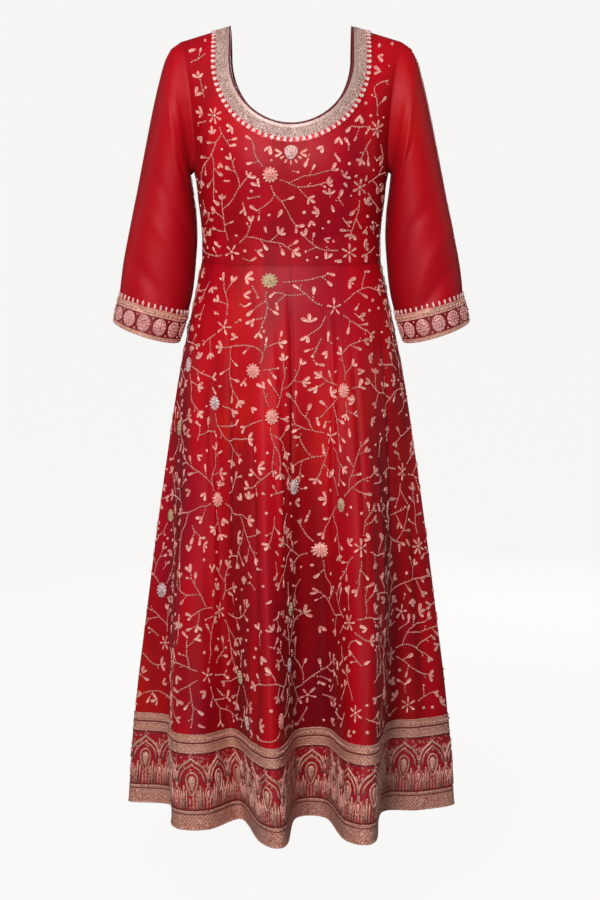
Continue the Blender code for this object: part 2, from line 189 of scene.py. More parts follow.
skirtLevels = {
    "z": (-0.3638, -0.4257, -0.5533, -0.6822, -0.8122, -0.9433, -1.0757, -1.2430),
    "halfWidth": (0.14, 0.1531, 0.1785, 0.1985, 0.2171, 0.2342, 0.2507, 0.2635),
    "front": (0.1, 0.119, 0.148, 0.172, 0.194, 0.214, 0.234, 0.256),
    "back": (0.088, 0.112, 0.147, 0.172, 0.193, 0.211, 0.228, 0.246),
}
hemTurns = [  # across, forward, and the share of the height where the fold begins
    (-0.2635, 0.004, 0.00), (-0.193, 0.028, 0.12), (-0.183, 0.150, 0.06), (-0.132, 0.166, 0.06),
    (-0.078, 0.106, 0.10), (-0.044, 0.236, 0.00), (-0.011, 0.256, 0.00), (0.004, 0.104, 0.04),
    (0.056, 0.100, 0.04), (0.086, 0.224, 0.00), (0.126, 0.235, 0.00), (0.142, 0.070, 0.12),
    (0.204, 0.056, 0.12), (0.262, 0.018, 0.00), (0.196, -0.048, 0.10), (0.224, -0.128, 0.00),
    (0.140, -0.120, 0.08), (0.146, -0.206, 0.00), (0.098, -0.222, 0.00), (0.068, -0.128, 0.06),
    (0.010, -0.245, 0.00), (-0.042, -0.236, 0.00), (-0.058, -0.132, 0.10), (-0.118, -0.222, 0.02),
    (-0.132, -0.112, 0.06), (-0.216, -0.136, 0.00), (-0.190, -0.052, 0.12),
]
sleeveRings = {  # from just below the armhole to the cuff's lower edge
    "outerX": (0.187, 0.1965, 0.2065, 0.2165, 0.2285, 0.24, 0.2525, 0.264, 0.2705, 0.2745, 0.279),
    "outerZ": (-0.0335, -0.052, -0.087, -0.13, -0.1893, -0.248, -0.309, -0.369, -0.419, -0.438, -0.457),
    "innerX": (0.16, 0.1575, 0.1558, 0.1536, 0.1508, 0.1495, 0.1518, 0.1565, 0.1655, 0.1722, 0.179),
    "innerZ": (-0.229, -0.238, -0.25, -0.266, -0.29, -0.325, -0.364, -0.408, -0.4465, -0.4675, -0.4885),
    "depth": (0.056, 0.06, 0.061, 0.059, 0.057, 0.055, 0.053, 0.051, 0.05, 0.05, 0.05),
    "forward": (0, 0, 0.001, 0.002, 0.004, 0.007, 0.011, 0.015, 0.018, 0.019, 0.02),
    "armhole": (0.4, 0.2, 0.1, 0, 0, 0, 0, 0, 0, 0, 0),
}
cuffRings, cuffDip = 2, 0.006

fine = {
    "lowerRows": 26,
    "upperRows": 44,
    "mainColumns": 32,
    "bandColumns": 6,
    "kaliColumns": 40,
    "skirtRows": 92,
    "borderRows": 20,
    "ringRows": 6,
    "foldSamples": 64,
}
layers = {  # heights above the garment's surface, inside and outside
    "cloth": (0.0003, 0.0015),
    "trim": (0.0016, 0.0027),
}
onCloth, onTrim = layers["cloth"][1] - 0.0001, layers["trim"][1] - 0.0001
weld = {"points": 2e-6, "normals": 1e-5}  # points this near are one


def cubic(a, b, slopeA, slopeB, t):
    start = a * (1 + 2 * t) * (1 - t) ** 2 + slopeA * t * (1 - t) ** 2
    return start + b * t * t * (3 - 2 * t) - slopeB * t * t * (1 - t)


def smoothCurve(places, values):
    order = np.argsort(places)
    xs = np.array(places, float)[order]
    ys = np.array(values, float)[order]
    rises = np.diff(ys) / np.diff(xs)
    before, after = rises[:-1], rises[1:]
    both = before * after > 0
    inner = np.where(both, 2 * before * after / np.where(both, before + after, 1), 0)
    slopes = np.concatenate([rises[:1], inner, rises[-1:]])

    def value(x):
        x = np.clip(x, xs[0], xs[-1])
        i = np.clip(np.searchsorted(xs, x, side="right") - 1, 0, len(rises) - 1)
        width = xs[i + 1] - xs[i]
        return cubic(ys[i], ys[i + 1], slopes[i] * width, slopes[i + 1] * width, (x - xs[i]) / width)

    return value


def levelCurves(levels):
    return {name: smoothCurve(levels["z"], levels[name]) for name in ("halfWidth", "front", "back")}


bodiceCurve, skirtCurve = levelCurves(bodiceLevels), levelCurves(skirtLevels)


def mix(a, b, share):
    return a + (b - a) * share


def unit(vectors):
    return vectors / np.maximum(np.linalg.norm(vectors, axis=-1, keepdims=True), 1e-12)


def rounded(value, power):
    return np.copysign(np.abs(value) ** (2 / power), value)


def shoulderHeight(x):
    slope = cut["shoulderDrop"] / (cut["shoulderTip"] - cut["neckHalf"])
    return -slope * np.maximum(np.abs(x) - cut["neckHalf"], 0)


def angleAt(x, z):
    share = np.clip(np.abs(x) / bodiceCurve["halfWidth"](z), 0, 1)
    return np.copysign(np.arcsin(share ** (cut["bodicePower"] / 2)), x)


# Soft creases: each row has its start, its end, half its width and its height, negative for a trough

creaseBow = 0.12  # how far a crease bows out, in shares of its length


def creased(u, v, rows):
    total = np.zeros(np.broadcast(u, v).shape)
    for startU, startV, endU, endV, width, height in rows:
        runU, runV = endU - startU, endV - startV
        length = math.hypot(runU, runV)
        along = ((u - startU) * runU + (v - startV) * runV) / length**2
        off = ((u - startU) * runV - (v - startV) * runU) / length
        ends = np.clip(4 * along * (1 - along), 0, 1)
        bend = creaseBow * length * np.sin(np.pi * np.clip(along, 0, 1))
        total = total + height * ends * np.exp(-(((off - bend) / width) ** 2))
    return total


bodiceCreases = {  # in x and z
    "front": [
        (-0.150, -0.232, -0.070, -0.205, 0.008, -0.0022),
        (-0.148, -0.262, -0.060, -0.240, 0.007, -0.0016),
        (0.150, -0.228, 0.074, -0.200, 0.008, -0.0022),
        (0.147, -0.256, 0.066, -0.236, 0.007, -0.0018),
        (-0.139, -0.318, -0.030, -0.335, 0.006, -0.0014),
        (0.138, -0.322, 0.020, -0.341, 0.006, -0.0015),
        (-0.135, -0.300, -0.055, -0.282, 0.009, 0.0012),
        (0.136, -0.296, 0.060, -0.278, 0.009, 0.0012),
        (-0.158, -0.120, -0.108, -0.175, 0.009, -0.0018),
        (0.160, -0.110, 0.112, -0.168, 0.009, -0.0018),
    ],
    "back": [
        (-0.148, -0.235, -0.050, -0.262, 0.008, -0.0018),
        (0.148, -0.230, 0.058, -0.256, 0.008, -0.0018),
        (-0.138, -0.322, 0.010, -0.334, 0.007, -0.0018),
        (0.138, -0.312, -0.012, -0.350, 0.007, -0.0016),
        (-0.090, -0.296, 0.070, -0.306, 0.010, 0.0012),
        (-0.156, -0.120, -0.100, -0.190, 0.009, -0.0016),
        (0.156, -0.128, 0.104, -0.186, 0.009, -0.0016),
    ],
}


def bodicePoint(side, angle, z):
    x = bodiceCurve["halfWidth"](z) * rounded(np.sin(angle), cut["bodicePower"])
    fall = np.clip((shoulderHeight(x) - z) / cut["shoulderTurn"], 0, 1)
    depth = bodiceCurve[side](z) * np.sqrt(1 - (1 - fall) ** 2)
    level = np.maximum(np.cos(angle), 0)
    y = depth * rounded(level, cut["bodicePower"])
    fade = np.minimum(1, 4 * level)
    aboveWaist = np.clip((z - cut["waistZ"]) / cut["waistCalm"], 0, 1)
    y = y + fade * aboveWaist * fall * creased(x, z, bodiceCreases[side])
    if side == "front":
        offSpan = (np.abs(x) - cut["bustHalfSpan"]) / cut["bustSpread"]
        offLevel = (z - cut["bustZ"]) / cut["bustSpread"]
        y = -(y + fade * cut["bustRise"] * np.exp(-(offSpan**2) - offLevel**2))
    return np.stack(np.broadcast_arrays(x, y, z), axis=-1)


def neckLine(side, share):
    drop = cut["neckRound"][side]
    quarter = math.pi * (cut["neckHalf"] + drop) / 4
    run = share * (quarter + cut["neckStraight"])
    outer = cut["neckHalf"] + cut["neckBand"]
    angle = np.minimum(run / quarter, 1) * math.pi / 2
    rise = np.clip((run - quarter) / cut["neckStraight"], 0, 1)
    neckX = cut["neckHalf"] * np.sin(angle)
    neckZ = -cut["neckStraight"] * (1 - rise) - drop * np.cos(angle)
    edgeX = neckX + cut["neckBand"] * np.sin(angle)
    edgeZ = neckZ - cut["neckBand"] * np.cos(angle) + shoulderHeight(outer) * rise
    return (neckX, neckZ), (edgeX, edgeZ)


def armhole(side, share):
    turn = math.pi * (1 - share)
    down = (1 - np.cos(turn)) / 2
    inset = cut["armholeInset"][side]
    x = mix(cut["shoulderTip"], cut["underarmHalf"], down) - inset * np.sin(turn)
    return x, mix(-cut["shoulderDrop"], cut["underarmZ"], down)


def underarmSweep(out):
    return cut["underarmSweep"] * out**3 * (1 - out)


def halfBodice(side):
    out = np.linspace(0, 1, fine["mainColumns"] + 1)[None, :]
    share = np.linspace(0, 1, fine["lowerRows"] + 1)[:, None]
    bandBottom = neckLine(side, np.array(0.0))[1][1]
    top = mix(bandBottom, cut["underarmZ"], out)
    z = mix(cut["waistZ"], top, share) - underarmSweep(out) * share
    lower = bodicePoint(side, out * math.pi / 2 + 0 * z, z)
    share = np.linspace(0, 1, fine["upperRows"] + 1)[:, None]
    neck, edge = neckLine(side, share)
    arm = armhole(side, share)
    z = mix(edge[1], arm[1], out) - underarmSweep(out) * (1 - share) ** 4
    late = out ** (1 + 9 * (1 - share) ** 6)  # near the underarm only the last columns follow the armhole
    byAngle = mix(angleAt(*edge), math.pi / 2, out) + (angleAt(*arm) - math.pi / 2) * late
    byWidth = angleAt(mix(edge[0], arm[0], out), z)
    main = bodicePoint(side, mix(byAngle, byWidth, share), z)
    across = np.linspace(0, 1, fine["bandColumns"] + 1)[None, :-1]
    x, z = mix(neck[0], edge[0], across), mix(neck[1], edge[1], across)
    return lower, np.concatenate([bodicePoint(side, angleAt(x, z), z), main], axis=1)


def mirrored(grid):
    return grid * np.array([-1.0, 1.0, 1.0])


# Sleeves: u runs round from the underarm by the front, v down from the armhole

sleeveCreases = {  # in metres round from the outer line, forward positive, and down the sleeve
    "left": [
        (0.020, 0.300, 0.120, 0.385, 0.0075, -0.0034),
        (0.000, 0.260, 0.110, 0.330, 0.0090, 0.0026),
        (0.045, 0.225, 0.150, 0.290, 0.0080, -0.0030),
        (-0.010, 0.335, 0.070, 0.400, 0.0065, -0.0022),
        (0.060, 0.345, 0.140, 0.400, 0.0065, 0.0020),
        (0.070, 0.120, 0.150, 0.215, 0.0100, -0.0028),
        (0.030, 0.060, 0.120, 0.180, 0.0120, 0.0022),
        (0.085, 0.035, 0.140, 0.110, 0.0080, -0.0030),
    ],
    "right": [
        (0.015, 0.290, 0.125, 0.370, 0.0080, -0.0034),
        (0.040, 0.240, 0.145, 0.310, 0.0085, 0.0026),
        (0.010, 0.330, 0.095, 0.395, 0.0065, -0.0026),
        (0.050, 0.195, 0.150, 0.262, 0.0085, -0.0028),
        (0.075, 0.330, 0.150, 0.375, 0.0065, 0.0020),
        (0.065, 0.105, 0.150, 0.190, 0.0110, -0.0026),
        (0.025, 0.070, 0.110, 0.170, 0.0120, 0.0022),
        (0.090, 0.030, 0.145, 0.100, 0.0080, -0.0030),
    ],
}
sleeveSizes = {
    "halfRound": 0.165,
    "length": 0.43,
    "fadeIn": 0.05,
    "cuffCalm": 0.30,
    "cuffFade": 3.2,
    "backShift": 0.018,  # how much lower the creases lie at the back
}


def armholeLoop():
    count = fine["upperRows"]
    sides = [("front", i / count) for i in range(count + 1)]
    sides += [("back", i / count) for i in range(count - 1, 0, -1)]
    turns = np.array([math.pi * (1 - share) for _, share in sides])
    forward = np.array([1.0 if side == "front" else -1.0 for side, _ in sides])
    points = []
    for side, share in sides:
        x, z = armhole(side, np.array(share))
        points.append(bodicePoint(side, angleAt(x, z), z))
    return turns, forward, np.array(points)


def sleeveGrid(hand):
    turns, forward, start = armholeLoop()
    count = len(sleeveRings["outerX"])
    steps = np.arange(0, (count - 1) * fine["ringRows"] + 1) / fine["ringRows"]
    ring = {}
    for name, values in sleeveRings.items():
        ring[name] = smoothCurve(range(count), values)(steps)[:, None]
    down = (1 - np.cos(turns)) / 2
    inset = np.where(forward > 0, cut["armholeInset"]["front"], cut["armholeInset"]["back"])
    dip = cuffDip * np.maximum(0, steps + 1 + cuffRings - count)[:, None] / cuffRings
    x = mix(ring["outerX"], ring["innerX"], down) - inset * np.sin(turns) * ring["armhole"]
    z = mix(ring["outerZ"], ring["innerZ"], down) - forward * dip * np.sin(turns)
    y = mix(-forward * ring["depth"] * np.sin(turns) - ring["forward"], start[:, 1], ring["armhole"])
    rings = np.stack([x, y, z], axis=-1)
    between = fine["ringRows"] // 2
    first = [mix(start, rings[0], i / between) for i in range(between)]
    grid = np.concatenate([np.array(first), rings])
    grid = np.concatenate([grid, grid[:, :1]], axis=1)
    middles = grid[:, :-1].mean(axis=1)
    away = grid - middles[:, None, :]
    away = away / np.linalg.norm(away, axis=-1, keepdims=True)
    share = np.linspace(0, 1, len(grid))[:, None]
    around = np.append(turns * forward, -math.pi)[None, :] / math.pi
    v = share * sleeveSizes["length"]
    push = 0
    for sign, shift in ((1, 0.0), (-1, sleeveSizes["backShift"])):
        push = push + creased(sign * around * sleeveSizes["halfRound"], v - shift, sleeveCreases[hand])
    calm = np.clip((1 - share) / (1 - sleeveSizes["cuffCalm"]) * sleeveSizes["cuffFade"], 0, 1)
    push = push * np.clip(v / sleeveSizes["fadeIn"], 0, 1) * calm
    grid = grid + away * push[..., None]
    return grid if hand == "left" else mirrored(grid)


# The skirt: u counts kalis from the wearer's right side by the front and round the back, and v runs down

skirtCreases = [  # in kalis round and in shares of the height
    (0.75, 0.30, 0.62, 0.98, 0.060, -0.0050), (1.35, 0.16, 1.42, 0.70, 0.070, 0.0040),
    (1.80, 0.08, 1.62, 0.62, 0.060, -0.0045), (2.25, 0.22, 2.18, 0.95, 0.055, -0.0050),
    (2.62, 0.10, 2.72, 0.60, 0.070, 0.0045), (2.95, 0.03, 3.02, 0.42, 0.045, -0.0045),
    (3.30, 0.30, 3.42, 0.90, 0.060, -0.0045), (3.72, 0.06, 3.60, 0.52, 0.065, 0.0040),
    (4.15, 0.12, 4.28, 0.78, 0.060, -0.0050), (4.55, 0.25, 4.70, 0.96, 0.055, 0.0040),
    (4.95, 0.10, 5.05, 0.66, 0.060, -0.0045), (5.40, 0.30, 5.52, 0.95, 0.060, -0.0040),
    (6.50, 0.16, 6.62, 0.85, 0.060, -0.0045), (7.15, 0.08, 7.02, 0.60, 0.065, 0.0040),
    (7.60, 0.20, 7.75, 0.94, 0.055, -0.0050), (8.25, 0.06, 8.38, 0.58, 0.060, -0.0045),
    (8.80, 0.15, 8.66, 0.86, 0.060, 0.0045), (9.30, 0.10, 9.40, 0.68, 0.055, -0.0050),
    (9.90, 0.24, 9.75, 0.92, 0.060, 0.0040), (10.45, 0.08, 10.52, 0.64, 0.060, -0.0045),
    (11.10, 0.14, 11.24, 0.88, 0.060, -0.0045), (11.60, 0.10, 11.50, 0.56, 0.065, 0.0035),
]
# Painted shade in the skirt: reach, depth, creaseDepth and creaseMost set how much darker the red is painted
# deep in a fold or crease; waistCalm fades the creases' shape near the waist
folds = {
    "reach": 20,  # columns either side within which a fold counts as hollow
    "depth": 0.42,  # a fold this much nearer the middle is fully hollow
    "creaseDepth": 0.009,
    "creaseMost": 0.55,
    "waistCalm": 0.05,
}


def runAlong(points):
    return np.concatenate([[0], np.cumsum(np.linalg.norm(np.diff(points, axis=0), axis=1))])


def hemLine(total):
    rows = np.array(hemTurns)
    count = len(rows)
    t = (np.arange(fine["foldSamples"]) / fine["foldSamples"])[:, None]
    parts = []
    for i in range(count):
        before, a, b, after = (rows[(i + k) % count] for k in (-1, 0, 1, 2))
        parts.append(cubic(a, b, (b - before) / 2, (after - a) / 2, t))
    dense = np.concatenate(parts + [rows[:1]])
    runs = runAlong(dense[:, :2])
    at = np.linspace(0, runs[-1], total + 1)
    across, forward, start = (np.interp(at, runs, dense[:, k]) for k in range(3))
    front, back = skirtLevels["front"][-1], skirtLevels["back"][-1]
    waistAngle = math.tau * np.arange(total + 1) / total - math.pi / 2
    wide = across / skirtLevels["halfWidth"][-1]
    deep = forward / np.where(forward > 0, front, back)
    hemAngle = np.arctan2(wide, deep)
    hemAngle = hemAngle + math.tau * np.round((waistAngle - hemAngle) / math.tau)
    return waistAngle, hemAngle, np.hypot(wide, deep), start, runs[-1]


def skirtGrid():
    total = cut["kalis"] * fine["kaliColumns"]
    waistAngle, hemAngle, reach, start, hemRound = hemLine(total)
    height = cut["waistZ"] - cut["hemZ"]
    top = 1 - cut["border"] / height
    above, below = np.linspace(0, top, fine["skirtRows"] + 1), np.linspace(top, 1, fine["borderRows"] + 1)
    shares = np.concatenate([above, below[1:]])
    down = shares[:, None]
    z = cut["waistZ"] - height * down
    grown = np.maximum(down - start, 0) / (1 - start)
    angle = mix(waistAngle, hemAngle, grown)
    outTo = mix(1, reach, grown)
    power = mix(cut["bodicePower"], cut["hemPower"], np.minimum(1, down / cut["powerShare"]))
    front = (1 + np.tanh(cut["sideBlend"] * np.cos(angle))) / 2
    depth = mix(skirtCurve["back"](z), skirtCurve["front"](z), front)
    x = skirtCurve["halfWidth"](z) * outTo * rounded(np.sin(angle), power)
    y = -depth * outTo * rounded(np.cos(angle), power)
    grid = np.stack([x, y, z + 0 * x], axis=-1)
    around = np.gradient(grid, axis=1)
    along = np.gradient(grid, axis=0)
    around[:, 0] = around[:, -1] = grid[:, 1] - grid[:, -2]
    out = unit(np.cross(along, around))
    out = out * np.sign((out * grid)[..., :2].sum(axis=-1).mean())
    u = np.linspace(0, cut["kalis"], total + 1)[None, :]
    push = 0
    for turn in (-cut["kalis"], 0, cut["kalis"]):
        push = push + creased(u + turn, down, skirtCreases)
    grid = grid + out * (push * np.minimum(1, down / folds["waistCalm"]))[..., None]
    grid[:, -1] = grid[:, 0]
    outTo, push = outTo[:, :-1], push[:, :-1]
    # painted shade: how far this part of the cloth lies inside its neighbours' folds, and how deep in a
    # crease
    steps = range(-folds["reach"], folds["reach"] + 1, 2)
    level = np.maximum.reduce([np.roll(outTo, step, axis=1) for step in steps])
    paintedShade = np.clip((level - outTo) / folds["depth"], 0, 1)
    paintedShade = paintedShade + np.clip(-push / folds["creaseDepth"], 0, folds["creaseMost"])
    paintedShade = np.minimum(np.concatenate([paintedShade, paintedShade[:, :1]], axis=1), 1)
    return grid, shares, hemRound, paintedShade


# Surfaces: grids of points welded into one, with quads that look outwards

def fromEdges(grid, edges):
    # how far each point lies from the nearest of these edges, measured along the grid
    across = np.cumsum(np.linalg.norm(np.diff(grid, axis=1), axis=2), axis=1)
    down = np.cumsum(np.linalg.norm(np.diff(grid, axis=0), axis=2), axis=0)
    across = np.pad(across, ((0, 0), (1, 0)))
    down = np.pad(down, ((1, 0), (0, 0)))
    runs = {"first": across, "last": across[:, -1:] - across, "top": down, "bottom": down[-1:] - down}
    return np.minimum.reduce([runs[edge] for edge in edges])


def shadePlaces(grid, paintedShade, seams):
    # georgette keeps its painted shade, deep in folds and on turned-away sides, and how far from a seam it
    # lies where trims keep their place
    return np.stack([paintedShade + 0 * grid[..., 0], fromEdges(grid, seams)], axis=-1)


# Painted shade: the bodice is painted darker towards its sides, and each sleeve towards its inner half
sideShade = {  # where the sides grow darker, over what width, its power and the most
    "bodice": (0.70, 0.30, 1.5, 0.55),
    "sleeve": (0.42, 0.50, 1.3, 0.85),
}


def sidePaintedShade(kind, share):
    start, width, power, most = sideShade[kind]
    return most * np.clip((share - start) / width, 0, 1) ** power


def bodicePaintedShade(grid):
    return sidePaintedShade("bodice", np.abs(grid[..., 0]) / bodiceCurve["halfWidth"](grid[..., 2]))


def sleevePaintedShade(grid):
    around = np.append(armholeLoop()[0], math.pi) / math.pi
    return sidePaintedShade("sleeve", around[None, :]) + 0 * grid[..., 0]


def quadNormals(at):
    return np.cross(at[:, 2] - at[:, 0], at[:, 3] - at[:, 1])


def sameAs(points, size):
    keys = np.round(points / size).astype(np.int64)
    _, first, back = np.unique(keys, axis=0, return_index=True, return_inverse=True)
    return first, back.reshape(-1)


def surfaceOf(grids, inside, places=None):
    points, quads, corners, indexes, start = [], [], [], [], 0
    for number, grid in enumerate(grids):
        rows, columns = grid.shape[:2]
        index = start + np.arange(rows * columns).reshape(rows, columns)
        part = np.stack([index[:-1, :-1], index[:-1, 1:], index[1:, 1:], index[1:, :-1]], axis=-1)
        part = part.reshape(-1, 4)
        flat = grid.reshape(-1, 3)
        at = flat[part - start]
        middle = at.mean(axis=1)
        if (quadNormals(at) * (middle - inside(middle))).sum() < 0:
            part = part[:, ::-1]
        place = places[number] if places is not None else grid[..., [0, 2]]
        corners.append(place.reshape(-1, 2)[part - start])
        points.append(flat)
        quads.append(part)
        indexes.append(index)
        start += rows * columns
    points = np.concatenate(points)
    first, back = sameAs(points, weld["points"])
    return {
        "points": points[first],
        "quads": back[np.concatenate(quads)],
        "places": np.concatenate(corners),
        "indexes": [back[index] for index in indexes],
    }


def axisAt(middles):
    return middles * np.array([0.0, 0.0, 1.0])


def sleeveAxis(grid):
    rings = grid[:, :-1].mean(axis=1)

    def inside(middles):
        near = np.abs(middles[:, None, 2] - rings[None, :, 2]).argmin(axis=1)
        return rings[near]

    return inside


def shareNormals(surfaces):
    points = np.concatenate([item["points"] for item in surfaces])
    starts = np.cumsum([0] + [len(item["points"]) for item in surfaces])
    quads = np.concatenate([item["quads"] + start for item, start in zip(surfaces, starts)])
    _, back = sameAs(points, weld["normals"])
    normal = unit(quadNormals(points[quads]))
    total = np.zeros((back.max() + 1, 3))
    for corner in range(4):
        np.add.at(total, back[quads[:, corner]], normal)
    normals = total[back]
    atWaist = np.abs(points[:, 2] - cut["waistZ"]) < 1e-6
    normals[atWaist, 2] = 0
    normals = normals / np.linalg.norm(normals, axis=1, keepdims=True)
    for item, start in zip(surfaces, starts):
        item["normals"] = normals[start : start + len(item["points"])]


def addPiece(name, mesh, material):
    mesh.materials.append(material)
    item = linked(name, mesh)
    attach(item, "root")
    return item


def frozen(item):
    # the shape as evaluated, in place of the object
    graph = bpy.context.evaluated_depsgraph_get()
    mesh = bpy.data.meshes.new_from_object(item.evaluated_get(graph))
    bpy.data.objects.remove(item)
    mesh.materials.clear()
    return mesh


def addWall(name, surface, heights, material):
    points, normals, quads = surface["points"], surface["normals"], surface["quads"]
    count = len(points)
    inner, outer = (points + normals * height for height in heights)
    edges = np.concatenate([quads[:, [0, 1]], quads[:, [1, 2]], quads[:, [2, 3]], quads[:, [3, 0]]])
    known = set(map(tuple, edges.tolist()))
    rim = [edge for edge in edges.tolist() if (edge[1], edge[0]) not in known]
    rim = np.array(rim, dtype=np.int64).reshape(-1, 2)
    sides = np.stack([rim[:, 0], rim[:, 1], rim[:, 1] + count, rim[:, 0] + count], axis=1)
    faces = np.concatenate([quads + count, quads[:, ::-1], sides])
    pointPlaces = np.zeros((count, 2))
    pointPlaces[quads.reshape(-1)] = surface["places"].reshape(-1, 2)
    places = [surface["places"], surface["places"][:, ::-1], pointPlaces[sides % count]]
    mesh = bpy.data.meshes.new(name)
    mesh.vertices.add(2 * count)
    mesh.vertices.foreach_set("co", np.concatenate([inner, outer]).reshape(-1))
    mesh.loops.add(faces.size)
    mesh.loops.foreach_set("vertex_index", faces.reshape(-1))
    mesh.polygons.add(len(faces))
    mesh.polygons.foreach_set("loop_start", np.arange(len(faces)) * 4)
    mesh.update(calc_edges=True)
    layer = mesh.uv_layers.new(name="cloth")
    layer.data.foreach_set("uv", np.concatenate([part.reshape(-1) for part in places]))
    mesh.shade_smooth()
    mesh.normals_split_custom_set_from_vertices(np.concatenate([-normals, normals]).tolist())
    return addPiece(name, mesh, material)


# Shader maths: a wire is one socket, and the usual signs work on it

class Wire:
    def __init__(self, tree, socket=None):
        self.tree = tree
        self.socket = socket

    def node(self, kind, settings=None, sockets=None, out=0):
        made = self.tree.nodes.new(kind)
        for name, value in (settings or {}).items():
            if name == "stops":
                ramp = made.color_ramp
                while len(ramp.elements) < len(value):
                    ramp.elements.new(0.5)
                for element, (position, colour) in zip(ramp.elements, value):
                    element.position = position
                    element.color = colour
            else:
                setattr(made, name, value)
        for name, value in (sockets or {}).items():
            target = self.find(made.inputs, name)
            if isinstance(value, Wire):
                self.tree.links.new(value.socket, target)
            else:
                target.default_value = value
        return Wire(self.tree, self.find(made.outputs, out))

    @staticmethod
    def find(sockets, name):
        if isinstance(name, int):
            return sockets[name]
        for socket in sockets:
            if socket.identifier == name:
                return socket
        return sockets[name]

    def maths(self, operation, *values):
        sockets = {number: value for number, value in enumerate((self, *values))}
        return self.node("ShaderNodeMath", {"operation": operation}, sockets)

    def reflected(self, operation, value):
        return self.node("ShaderNodeMath", {"operation": operation}, {0: value, 1: self})

    __add__ = partialmethod(maths, "ADD")
    __sub__ = partialmethod(maths, "SUBTRACT")
    __mul__ = partialmethod(maths, "MULTIPLY")
    __radd__ = partialmethod(reflected, "ADD")
    __rsub__ = partialmethod(reflected, "SUBTRACT")
    __rmul__ = partialmethod(reflected, "MULTIPLY")
    either = partialmethod(maths, "MAXIMUM")

    def smooth(self, low, high):
        sockets = {"Value": self, "From Min": low, "From Max": high}
        return self.node("ShaderNodeMapRange", {"interpolation_type": "SMOOTHSTEP"}, sockets)

    def blend(self, a, b):
        sockets = {"Factor_Float": self, "A_Color": a, "B_Color": b}
        return self.node("ShaderNodeMix", {"data_type": "RGBA"}, sockets, "Result_Color")

    def cells(self, size, out="Distance"):
        return self.node("ShaderNodeTexVoronoi", {}, {"Vector": self, "Scale": 1 / size}, out)

    def wave(self, pitch):
        return (self * (math.tau / pitch)).maths("SINE")

    def past(self, value, soft):
        return self.smooth(value - soft, value + soft)

    def band(self, low, high, soft):
        return self.past(low, soft) * (1 - self.past(high, soft))

    def part(self, axis):
        return self.node("ShaderNodeSeparateXYZ", {}, {0: self}, axis)

    def shaded(self, colour):
        grey = self.node("ShaderNodeCombineColor", {}, {"Red": self, "Green": self, "Blue": self})
        settings = {"data_type": "RGBA", "blend_type": "MULTIPLY"}
        sockets = {"Factor_Float": 1.0, "A_Color": colour, "B_Color": grey}
        return self.node("ShaderNodeMix", settings, sockets, "Result_Color")

    def bump(self, strength, distance):
        sockets = {"Strength": strength, "Distance": distance, "Height": self}
        return self.node("ShaderNodeBump", {}, sockets)

    def noise(self, scale, detail=2.0, stretch=(1, 1, 1)):
        moved = self.node("ShaderNodeMapping", {"vector_type": "POINT"}, {"Vector": self, "Scale": stretch})
        sockets = {"Vector": moved, "Scale": scale, "Detail": detail}
        return self.node("ShaderNodeTexNoise", {}, sockets, "Fac")


def startMaterial(name, fixed):
    material = bpy.data.materials.new(name)
    material.use_nodes = True
    tree = material.node_tree
    shader = tree.nodes["Principled BSDF"]
    for socket, value in fixed.items():
        shader.inputs[socket].default_value = value
    return material, Wire(tree), shader


def feed(shader, wires):
    for name, wire in wires.items():
        wire.tree.links.new(wire.socket, shader.inputs[name])


georgette = {
    "red": (0.54, 0.0012, 0.0085, 1),
    "orange": (0.70, 0.0100, 0.0045, 1),
    "wine": (0.36, 0.0010, 0.0160, 1),
    # the dark red painted deep in folds as painted shade, and how much of it
    "fold": (0.150, 0.0004, 0.0040, 1),
    "foldShare": 0.80,
    "roughness": 0.55,
    "sheen": 0.03,
    "patch": 6.5,  # colour patches to the metre
    "crepe": 1500.0,
    "seam": (0.0004, 0.0011),  # metres from the seam
    "seamShade": 0.22,
    "seamDepth": 1.5,
    "warm": (0.52, 0.66),
    "cool": (0.50, 0.66),
    "coolShare": 0.75,
    "streak": (0.30, 0.62),
    "streakShade": 0.34,
    "crinkle": 260.0,
    "relief": (0.35, 0.0003),
}


def georgetteMaterial(name, patches, shade=1.0):
    fixed = {
        "Roughness": georgette["roughness"],
        "Sheen Weight": georgette["sheen"],
        "Sheen Roughness": 0.4,
        "Sheen Tint": (1.0, 0.35, 0.35, 1),
        "Specular IOR Level": 0.18,
    }
    material, start, shader = startMaterial(name, fixed)
    place = start.node("ShaderNodeTexCoord", out="Object")
    large = place.noise(georgette["patch"], 3.0, (1, 1, 0.40))
    streak = place.noise(19.0, 2.0, (1, 1, 0.16))
    warm = large.smooth(*georgette["warm"]) * patches
    cool = (1 - large).smooth(*georgette["cool"]) * patches
    colour = warm.blend(georgette["red"], georgette["orange"])
    colour = (cool * georgette["coolShare"]).blend(colour, georgette["wine"])
    streaks = georgette["streakShade"] * patches
    colour = (streak.smooth(*georgette["streak"]) * streaks + (1 - streaks)).shaded(colour)
    flat = start.node("ShaderNodeUVMap", {"uv_map": "cloth"})
    seam = 1 - flat.part(1).smooth(*georgette["seam"])
    # painted shade: the red goes towards a dark red where the cloth lies deep in a fold or crease, or on a
    # turned-away side
    colour = (flat.part(0) * georgette["foldShare"]).blend(colour, georgette["fold"])
    crepe = place.noise(georgette["crepe"], 2.0)
    crinkle = place.noise(georgette["crinkle"], 2.0, (1, 1, 0.25))
    # shade darkens a whole copy of the cloth, as painted shade for the sleeves
    darker = (crepe * 0.16 + 0.92) * (crinkle * 0.10 + 0.95) * (1 - seam * georgette["seamShade"]) * shade
    height = crepe + crinkle * 0.8 - seam * georgette["seamDepth"]
    feed(shader, {"Base Color": darker.shaded(colour), "Normal": height.bump(*georgette["relief"])})
    return material


# Small raised pieces are set out as points with a turn and a size, and a node tree puts the shape on each

